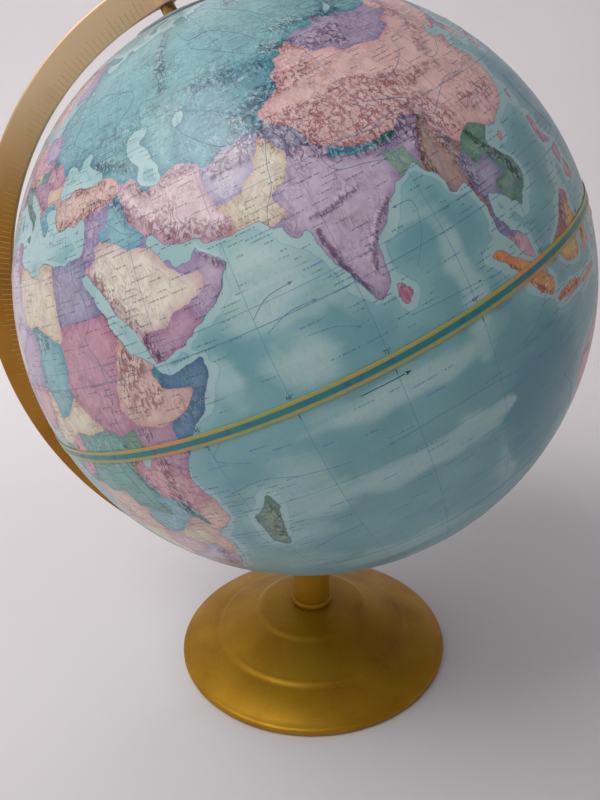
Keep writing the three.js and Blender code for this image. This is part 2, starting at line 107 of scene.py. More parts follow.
LAND = {
    "eurasia": """32.6 29.9, 32.3 31.2, 34.2 31.3, 35 32.8, 35.5 34, 35.8 35.6, 36.1 36.6,
        34.7 36.7, 33.7 36.2, 32.5 36, 30.7 36.8, 29 36.4, 27.3 37, 26.5 38.3, 26.1 39.5, 27 40.4,
        29.1 40.5, 29.1 41.1, 27.4 40.9, 26.2 40.2, 26 40.8, 24.4 40.9, 24.2 40.2, 22.9 40.5,
        22.8 39.5, 24.4 38, 24 37.7, 22.9 37.9, 23.1 36.5, 21.7 36.8, 21.2 38.2, 20.2 39.5,
        19.4 40.5, 19.6 41.7, 18.4 42.5, 16.5 43.4, 15 44.7, 13.6 44.9, 13.6 45.7, 12.3 45.3,
        12.5 44.2, 13.6 43.5, 14.2 42.5, 16.1 41.8, 18.4 40.1, 16.8 40.5, 17.1 39, 15.8 38,
        16.1 38.9, 15.6 40, 14.3 40.8, 12.3 41.7, 10.4 43, 9 44.4, 6.5 43.1, 4.6 43.4, 3.1 43.2,
        3.2 42.2, 1 41.1, -0.3 39.5, 0.1 38.7, -0.7 37.7, -2.1 36.8, -4.5 36.6, -5.5 36, -6.4 36.9,
        -8.9 37, -9.4 38.8, -8.7 41.2, -9.1 43.1, -7.8 43.7, -4 43.4, -1.7 43.4, -1.1 46.2, -4.6 48,
        -4.6 48.6, -1.5 48.7, -1.8 49.7, 0.2 49.5, 1.6 50.8, 3.6 51.5, 4.7 53, 7 53.4, 8.7 53.9,
        8.2 57, 10.6 57.7, 9.7 55.4, 10.9 54.1, 14.3 53.9, 18.3 54.8, 19.7 54.4, 21 55.5, 21.4 57.4,
        22.6 57.7, 24 57, 23.5 58.8, 25 59.5, 30 59.8, 28 60.5, 22.9 59.9, 21.3 60.9, 21.5 63,
        25.3 65, 23.8 65.8, 21.3 64.6, 17.3 62, 18.8 59.8, 16.6 57.9, 16 56.2, 14.3 55.5, 12.9 55.5,
        11.3 58.8, 10.6 59.5, 8 58.1, 5.6 58.9, 5.1 61.5, 9 63.6, 12.5 66, 15.5 68.4, 19 70,
        25.7 71.1, 31 70.3, 33.5 69.4, 40.8 67.7, 40.5 66.4, 32.6 67.1, 34.8 64.5, 37.6 63.9,
        40.3 64.7, 39.9 65.9, 43.9 66.1, 43.6 68.6, 46.3 68, 46.3 66.9, 54 68.3, 60.5 69.8, 61 68.9,
        65 69.3, 68.3 68.2, 66.8 70.8, 69.5 72.9, 72.7 72.8, 72.4 69.5, 73.4 67.5, 71.8 66.3,
        74.4 67.9, 74.4 71.8, 80.6 72.1, 80.6 73.6, 86.5 74, 88 75.2, 98.5 76.4, 104.3 77.7, 113 76,
        113 74.2, 106.5 73, 113.5 73.5, 123.4 73.1, 127 73.4, 129.3 71.2, 133 71.5, 139.5 72.3,
        150 71.6, 160 69.7, 170.5 69.3, 176 69.8, 185 67.2, 190.2 66.1, 187.5 64.4, 181.5 65.5,
        177.5 64.7, 179.5 62.5, 170.3 59.9, 163.4 59.8, 162 57.9, 163.2 56, 160 53.1, 156.7 51,
        155.6 53.8, 156 57, 164.5 62.5, 160.2 60.9, 156.5 61.6, 154.5 59.4, 143 59.3, 138 56.8,
        135.3 54.8, 141.3 53.1, 140.5 48.5, 138 46.2, 135.5 44.2, 132 43.1, 130.7 42.3, 129.7 41,
        127.5 39.8, 129.3 37.2, 129.2 35.2, 126.4 34.5, 126.7 36.8, 124.9 38, 125.3 39.5,
        121.3 38.8, 121.9 40.7, 118 39.1, 117.7 38.4, 119 37.2, 122.6 37.3, 119.2 35, 120.9 33,
        121.9 31.5, 120.8 30.4, 121.9 29.6, 119.6 25.6, 116 22.8, 113.5 22.1, 110.6 21.3,
        110.2 20.4, 109.7 21.5, 108.2 21.6, 106.7 20.6, 105.7 18.9, 108.9 15.3, 109.3 12.8, 108 11,
        106.7 10.3, 105.3 8.7, 104.9 10.1, 103.5 10.7, 102.4 12.1, 100.9 12.7, 100.6 13.5,
        99.9 12.9, 99.2 10.6, 99.3 9.3, 100.3 8.4, 101 6.9, 102.3 6.2, 103.4 4.5, 103.5 2.7,
        104.2 1.4, 103.5 1.3, 101.3 2.8, 100.3 5.6, 98.4 7.9, 98.5 10, 98.7 12, 97.8 14.8,
        97.5 16.5, 96.2 16.4, 95 15.8, 94.3 16.2, 94.4 18.2, 93.6 19.8, 92.2 20.9, 91.8 22.5,
        90.6 22.2, 89 21.7, 87.1 21.5, 86.8 20.5, 85.2 19.6, 82.3 16.8, 80.4 15.8, 80.2 13.5,
        79.8 11.8, 79.8 10.3, 79 9.3, 78.1 8.6, 77.5 8.1, 76.5 9.2, 75.5 11.8, 74.5 14.3, 73.4 16.3,
        72.8 19, 72.7 21.2, 72.1 21.3, 70.8 20.7, 69 22.2, 70 22.9, 68.4 23.4, 67.3 24.3, 66.6 25.3,
        61.6 25.1, 57.7 25.6, 57 27, 55 26.6, 51.3 28, 49.8 30, 48.2 30, 48.3 28.9, 50.1 26.6,
        50.7 24.9, 51.3 26.1, 51.6 24.3, 54.2 24.2, 56.1 26, 56.4 24.9, 58.6 23.6, 59.8 22.4,
        58.6 20.5, 57.7 19, 55.6 17.6, 52.3 15.9, 49 14.1, 45 12.8, 43.5 12.7, 42.8 15, 42.6 16.8,
        41 19.3, 39.1 21.6, 38 24, 35.7 27.2, 34.8 28.6, 35 29.5, 34.5 28.6, 34.2 27.8, 33.3 28.7""",
    "africa": """33 29.6, 32.3 31.2, 31 31.5, 29.3 30.9, 25.2 31.6, 23.2 32.4, 21.8 32.9, 20.1 32.3,
        20.1 30.9, 19 30.3, 15.8 31.4, 15.2 32.3, 12.5 32.8, 10.1 34.1, 11 35.3, 11 37, 9.8 37.3,
        3 36.8, -2.1 35.1, -5.4 35.8, -6.3 34.8, -9.8 31.4, -9.9 29.5, -12.8 27.9, -14.5 26.2,
        -16.1 23.7, -17 21, -16.3 19, -16.5 16.2, -17.5 14.7, -16.7 12.2, -13.3 9, -12.5 7.5, -9 5,
        -7.5 4.4, -4.5 5.2, -2 4.8, 1.2 6.1, 4.4 6.3, 6 4.3, 8.8 4.5, 9.8 3.2, 9.6 1, 8.8 -0.8,
        12.2 -5.9, 13.3 -8.6, 13.8 -11, 12.5 -13.4, 11.8 -16.5, 14.5 -22.8, 15.2 -27, 18.3 -32.5,
        18.5 -34.3, 20 -34.8, 25.7 -34, 28.2 -32.8, 31 -30, 32.8 -28, 32.8 -25.8, 35.4 -24,
        35.4 -21.5, 34.8 -19.8, 37 -17.9, 40.5 -15.5, 40.5 -10.8, 39.4 -8.8, 38.9 -6.2, 39.8 -3.8,
        41.6 -1.7, 44 1.5, 47.5 4.3, 49.2 6.9, 50.8 9.5, 51.2 11.8, 48.5 11.3, 45 10.5, 43.2 11.5,
        43.1 12.6, 41.2 14.6, 39.5 15.4, 38.4 18, 37.2 19.6, 37.2 21.2, 35.6 23.4, 35.4 24.4,
        33.9 26.7, 32.7 28.8""",
    "madagascar": """49.2 -12, 50 -15.6, 49 -16.8, 48.2 -19.5, 46.7 -24.9, 45.2 -25.5, 43.7 -23.4,
        44.5 -20, 44.2 -16.4, 46.3 -15.7, 48 -13.5""",
    "sri_lanka": "79.9 9.8, 81.2 8.6, 81.9 7.1, 80.7 5.9, 79.8 7, 79.9 8.7",
    "britain": """-5.6 50, 1.4 51.2, 1.7 52.7, 0.2 53, -1.6 55.3, -2 57.6, -3.1 58.7, -5.1 58.6,
        -6 56.5, -4.8 54.8, -3 54, -4.5 53.3, -4.2 52.2, -5.2 51.8, -3 51.4""",
    "ireland": "-6.3 52.2, -5.6 54.5, -7.3 55.3, -10 54.2, -9.9 51.6",
    "iceland": """-22.6 63.9, -18.7 63.4, -14 64.8, -15 66.2, -18.5 66.1, -22.5 66.4, -24.1 65.5,
        -22 64.8""",
    "sicily": "12.4 38, 15.6 38.2, 15.1 36.7",
    "sardinia": "8.4 39, 9.7 39.2, 9.5 42.9, 8.6 42, 8.3 40.8",
    "crete": "23.5 35.6, 26.3 35.3, 24.8 34.8",
    "cyprus": "32.3 34.9, 34.5 35.7, 33.7 34.7",
    "novaya_zemlya": "51.8 71.4, 57.5 70.6, 56 73, 61 75.2, 68.8 76.7, 60 76.1, 55.3 74.7",
    "spitsbergen": "11 79.6, 20 80.3, 27 80, 21 78.4, 17 76.6, 13.5 78",
    "franz_josef": "47 80.4, 56 81.7, 64 80.9, 54 80.1",
    "north_land": "92 79.2, 95 81.1, 105 79.1, 99 78.1",
    "new_siberia": "137.5 75.9, 150 75.2, 143 73.5, 139 74.6",
    "sakhalin": "142 46, 143.5 46.3, 143 49.2, 144.6 49, 143.3 52.5, 142.6 54.4, 141.7 53, 142.2 49",
    "hokkaido": "140 41.5, 143.2 42, 145.6 43.3, 144 44.1, 141.9 45.5, 141.4 43.3",
    "honshu": """131 34.2, 133.9 34.5, 135.8 33.5, 138.8 34.7, 140.8 35.7, 142 39.5, 141.4 41.4,
        140 40.5, 139.4 38.2, 137.3 37.5, 136 35.7, 132.5 35.5""",
    "kyushu": "129.7 33.4, 131.9 33.6, 131.3 31.3, 130.1 31.3",
    "shikoku": "132.2 33.4, 134.6 34.3, 134.2 33.3, 133 32.7",
    "taiwan": "120.1 23, 121.6 25.3, 120.9 21.9",
    "hainan": "108.6 19.2, 110.9 20.1, 109.6 18.1",
    "luzon": "120.5 18.5, 122.3 18.5, 121.6 15.8, 124.1 12.9, 120.6 13.7, 119.8 16",
    "mindanao": "122 7, 125.4 9.8, 126.5 7.3, 125.5 5.6",
    "visayas": "121.9 11.9, 125 12.6, 125.7 11.2, 124 9.6, 122.4 9.2",
    "palawan": "117.2 8.3, 119.5 10.7, 119.4 11.4, 118.2 9.7",
    "borneo": """109 1.2, 110.4 1.9, 113 3.3, 115.3 5.4, 116.8 7.1, 119.2 5.3, 117.7 3.6, 119 1,
        117.5 0.4, 116.4 -1.8, 116.2 -3.9, 114.5 -4.1, 111.5 -3.4, 110 -1.5, 109 -0.3""",
    "sumatra": """95.2 5.6, 97.5 5.3, 98.9 3.8, 100.5 2.3, 103.2 0.5, 103.7 -0.9, 106 -3,
        105.8 -5.8, 104.6 -5.8, 102.3 -4, 100.4 -1, 98.8 1.6, 97 3.4""",
    "java": "105.2 -6.7, 108.5 -6.6, 110.8 -6.3, 114.4 -7.6, 114.4 -8.7, 110 -8.2, 106.5 -7.5",
    "sulawesi": """119.4 -5.6, 120.5 -5.5, 120.6 -3, 122 -4.8, 123 -4, 121.6 -1.9, 123.3 -0.8,
        120.3 -0.6, 120.9 0.6, 124.9 1.7, 120.6 1.3, 119.7 -0.2, 118.8 -2.8""",
    "flores": "114.6 -8.3, 118.5 -8.1, 122.9 -8.1, 122.9 -8.9, 117 -9.1, 115 -8.9",
    "timor": "123.5 -10.4, 127.3 -8.3, 125.4 -8.9",
    "ceram": """127.5 2.2, 128.8 0.8, 127.6 -0.6, 126.5 -3.2, 130.8 -3.1, 130 -3.9, 126.6 -3.9,
        126.9 -0.5""",
    "new_guinea": """131 -0.7, 134.1 -0.8, 135 -3.2, 137.8 -1.5, 141 -2.6, 145.8 -4.8, 147.8 -6.1,
        147 -6.9, 150.8 -10.4, 147 -9.6, 143.5 -8.5, 141 -9.2, 138 -8.3, 138.2 -5.6, 133 -4,
        132 -2.8""",
    "new_britain": "148.4 -5.6, 152.3 -4.1, 152 -5.6, 149.6 -6.4",
    "solomons": "154.6 -5.4, 156.2 -6.6, 162.3 -10.4, 160 -9.8",
    "australia": """113.6 -22.6, 114.1 -26.5, 115.8 -32, 115 -34.3, 118 -35.1, 120 -33.9,
        123.6 -33.9, 128.9 -31.7, 131.3 -31.5, 134.2 -32.9, 135.9 -35, 137.8 -32.6, 138.1 -35.6,
        139.7 -36.4, 140.6 -38.1, 143.5 -38.9, 146.4 -39.1, 150 -37.5, 151.3 -33.5, 153 -31,
        153.5 -28.2, 153.1 -25, 150.8 -23.3, 149 -20.6, 146.3 -18.9, 145.4 -14.9, 143.7 -14.3,
        142.5 -10.7, 141.6 -13, 140.8 -17.5, 139.3 -17.4, 135.5 -15, 136.9 -12.2, 132.6 -11.4,
        130.6 -12.6, 129.3 -15, 126.8 -13.8, 124.5 -16, 122.2 -18.1, 119 -20, 116.8 -20.6""",
    "tasmania": "144.6 -40.8, 148.4 -40.9, 147 -43.7",
    "north_zealand": """172.7 -34.4, 175.6 -36.8, 178.6 -37.7, 176.8 -39.6, 175.2 -41.7,
        173.7 -39.3, 174.8 -38""",
    "south_zealand": "172.7 -40.5, 174.3 -41.7, 171 -44.6, 169 -46.7, 166.4 -46, 170.5 -43",
    "new_caledonia": "163.9 -20, 167.1 -22.2, 166.2 -22.4, 164 -20.8",
    "fiji": "177.2 -17.4, 180.2 -16.3, 178.6 -18.6",
    "hawaii": "203.8 20.4, 205.3 19.6, 204.1 18.8",
    "north_america": """-168.1 65.6, -161.8 66.4, -166.4 68.3, -163 69.8, -156.6 71.4, -141 69.7,
        -135 69.4, -128 70.4, -124.5 69.9, -115.5 68.1, -108 67.8, -98 67.9, -96 70, -94.4 72,
        -92.3 70.5, -92 69.4, -88 68.6, -85.5 69.7, -81.6 69.1, -81.4 67.2, -86.5 66.4, -87.5 64.5,
        -93.8 61.6, -94.7 58.8, -92.4 57, -88 56.5, -82.3 55.2, -82.2 52.8, -80 51.2, -78.9 52.5,
        -79.2 54.5, -76.6 57, -78.5 58.7, -77.5 62.5, -73.7 62.4, -70 61, -69.4 58.9, -66 58.8,
        -64.5 60.3, -62 57.6, -57.5 54.6, -55.8 52.3, -60 50.2, -66.5 50.2, -69.5 48.1, -64.6 49,
        -64.9 47, -61 45.6, -65.8 43.6, -65 45.3, -67 44.8, -70.3 43.6, -70 41.6, -74 40.6,
        -75.7 38.5, -76 36.8, -75.6 35.2, -78 33.9, -81.2 31.8, -81.4 30.2, -80 27, -80.4 25.2,
        -81.8 26, -82.8 28, -83.9 30, -88.5 30.4, -89.3 29.1, -94.5 29.5, -97.3 27.6, -97.8 22.3,
        -96.2 19.2, -94.4 18.2, -91.5 18.5, -90.4 20.9, -87 21.5, -88.4 17.6, -88.8 15.8, -83.3 15,
        -83.6 11, -81.7 9, -79.6 9.6, -77.3 8.6, -77.9 7.3, -79.4 8.9, -80.4 7.4, -83 8.3,
        -85.8 10.8, -87.6 13.1, -91.5 14, -94.2 16.1, -96.5 15.7, -101.5 17.6, -105.6 20.3,
        -105.8 22.6, -109.4 25.8, -112.8 30, -114.7 31.6, -113 28.8, -109.8 23, -112.2 25.2,
        -114 28, -117.2 32.8, -120.6 34.5, -123.7 38.9, -124.4 42.8, -124.2 46.3, -124.6 48.3,
        -122.6 47.7, -123 49.2, -127.7 51.7, -130.5 54.7, -134 58.3, -139.5 59.7, -146 60.9,
        -151 59.3, -151.5 61, -154 59.3, -158 56.5, -164.8 54.6, -160 56, -157.4 58.6, -162 58.8,
        -166 61.6, -161 64.5, -166.4 64.6""",
    "south_america": """-77.3 8.6, -75.5 10.7, -71.7 12.4, -71.8 10.2, -70 12, -68.3 10.6, -64 10.4,
        -61.8 10.7, -60 8.4, -57 6, -51.8 4.6, -50 0.7, -48.4 -1, -44.3 -2.6, -40 -2.9, -35.3 -5.2,
        -34.8 -7.8, -37.2 -11.5, -39 -13.5, -39.2 -17.8, -41 -22, -44.8 -23.3, -48.6 -26,
        -48.7 -28.5, -52 -33, -54.5 -34.8, -58.3 -34, -56.7 -36.5, -58 -38.2, -62.2 -39, -65 -41,
        -63.7 -42.6, -67.5 -46, -65.8 -47.8, -69.1 -50.8, -68.3 -52.6, -65.2 -54.7, -70.5 -55.2,
        -74.5 -52.5, -75.5 -48, -73.7 -41.8, -73.5 -37.2, -71.5 -32.5, -70.4 -23.5, -70.3 -18.4,
        -76 -14.4, -79.5 -7.8, -81.3 -4.5, -80 -2.8, -80.9 -1, -80 0.8, -77.5 3.9, -77.9 7.3""",
    "greenland": """-73 78.3, -60 76, -54.5 72.7, -51 69.6, -53.6 66.5, -48.5 61, -43.5 59.9,
        -40 65, -32 68.2, -22 70.3, -19.5 75, -17 80, -30 83.6, -45 82.7, -58 82, -66 80.8""",
    "baffin": """-61.5 66.5, -65 61.9, -72 63.2, -78 65, -73 68, -78 69.9, -88.5 70.5, -90 73.5,
        -81 73.7, -76 72.5, -67.5 69.7""",
    "victoria": "-117 69.2, -105 69, -101.5 70, -105 73, -113 73, -118 71.5",
    "banks": "-125.5 72.2, -121 71.5, -116 73.5, -123.5 74.3",
    "ellesmere": "-62.5 82.7, -78 83.1, -92 81, -86 79, -89 76.5, -80 76.2, -75 79",
    "devon": "-80 74.7, -92 74.7, -96 76.6, -89 76.2, -80 75.7",
    "melville": "-105 75, -116 75, -115 76.6, -105 76.2",
    "heiberg": "-88 78.5, -95 78.3, -95 80.7, -90 81",
    "newfoundland": "-59.3 47.7, -53.4 46.7, -53.5 48.6, -55.8 51.6, -57.6 50",
    "vancouver": "-123.4 48.4, -128.3 50.7, -125.5 50.2",
    "cuba": "-84.9 21.9, -82.5 23.1, -80.3 23.1, -74.2 20.2, -77.5 19.8, -78.2 21, -82 22.5",
    "hispaniola": "-74.4 18.4, -73 19.9, -69.9 19.8, -68.4 18.5, -71.5 17.7",
    "jamaica": "-78.3 18.5, -76.3 18.1, -77.3 17.8",
    "puerto_rico": "-67.2 18.5, -65.6 18.3, -67 17.9",
    "falklands": "-61 -51.4, -57.8 -51.6, -60 -52.3",
    "antarctica": """-180 -78.4, -158 -77.8, -148 -76.8, -135 -74.6, -110 -74.6, -100 -72.6,
        -76 -73, -68 -68.5, -63 -64.7, -57 -63.2, -62 -66.5, -62 -74, -45 -78, -32 -77, -20 -73.5,
        -10 -71, 10 -70, 30 -69.6, 45 -67.7, 55 -65.9, 68 -68, 73 -69.8, 80 -67.8, 90 -66.6,
        110 -66.2, 130 -66.2, 145 -66.8, 160 -70, 171 -71.8, 166 -77.6, 180 -78.4, 180 -91,
        -180 -91""",
}

WATER = {
    "black_sea": """28 41.7, 28.6 43.8, 30.7 46.4, 33 46, 33.4 45, 34.5 44.6, 35.3 45.3, 35.2 46.3,
        38 47.2, 38.6 46.2, 37.4 45, 39.5 43.6, 41.6 42.3, 41.3 41.5, 38.5 41, 36.5 41.4, 35.1 42,
        31.8 41.4, 29.3 41.2""",
    "caspian": """47.6 45.6, 49 46.5, 51.5 46.9, 53 46.5, 53 45.2, 51.2 44.6, 50.6 44.2, 52.6 42.5,
        52.8 41, 53.9 39.5, 53.8 36.9, 51.5 36.7, 49.2 37.6, 49.4 39.3, 49.8 40.4, 48.4 42,
        47.4 43.6""",
    "aral": "58.4 45.2, 60 46.6, 61.6 46.2, 61 44.4, 59 43.8",
    "balkhash": "73.7 45.7, 74.5 46.9, 79.2 46.7, 75.5 46.1",
    "baikal": "103.8 51.7, 107.5 53.6, 109.4 55.8, 110 55, 108.5 52.9, 105.8 51.5",
    "ladoga": "30.6 61.4, 32.8 61, 32 60, 31 60.2",
    "onega": "34.4 62.5, 36.4 61.6, 35.4 60.9",
    "victoria_lake": "31.8 -0.6, 32.6 0.4, 34.2 0.2, 33.7 -2, 32.6 -2.7, 31.7 -2.3",
    "tanganyika": "29.1 -3.4, 29.6 -6.4, 30.9 -8.8, 31.3 -8.4, 30.1 -6, 29.6 -3.5",
    "malawi_lake": "33.9 -9.6, 34.3 -12.4, 34.9 -14.3, 35.4 -13.8, 34.8 -11, 34.4 -9.7",
    "superior": "-92 46.7, -88.3 48.8, -84.8 47.9, -84.8 46.6, -88 46.6",
    "michigan": "-87.8 41.8, -86.6 41.8, -86.2 44, -85 45.9, -87.4 45.6, -87.9 43.5",
    "huron": "-84.5 46, -82.4 43.1, -81.5 43.5, -81.4 45.1, -80 44.5, -80.2 45.8, -82.5 46.3",
    "erie": "-83.4 41.8, -79 42.9, -79.8 42.2, -82.5 41.4",
    "ontario": "-79.8 43.4, -76.3 44.2, -76.4 43.5",
    "winnipeg": "-98.6 53.8, -96.6 51, -97.4 50.6, -99.3 52.6",
    "slave": "-116.8 61.2, -109.2 62.9, -113 61.9",
    "bear": "-124.5 66.2, -118 66.8, -121 65.2",
    "chad": "13.2 13.9, 15 13.8, 14.2 12.7",
}

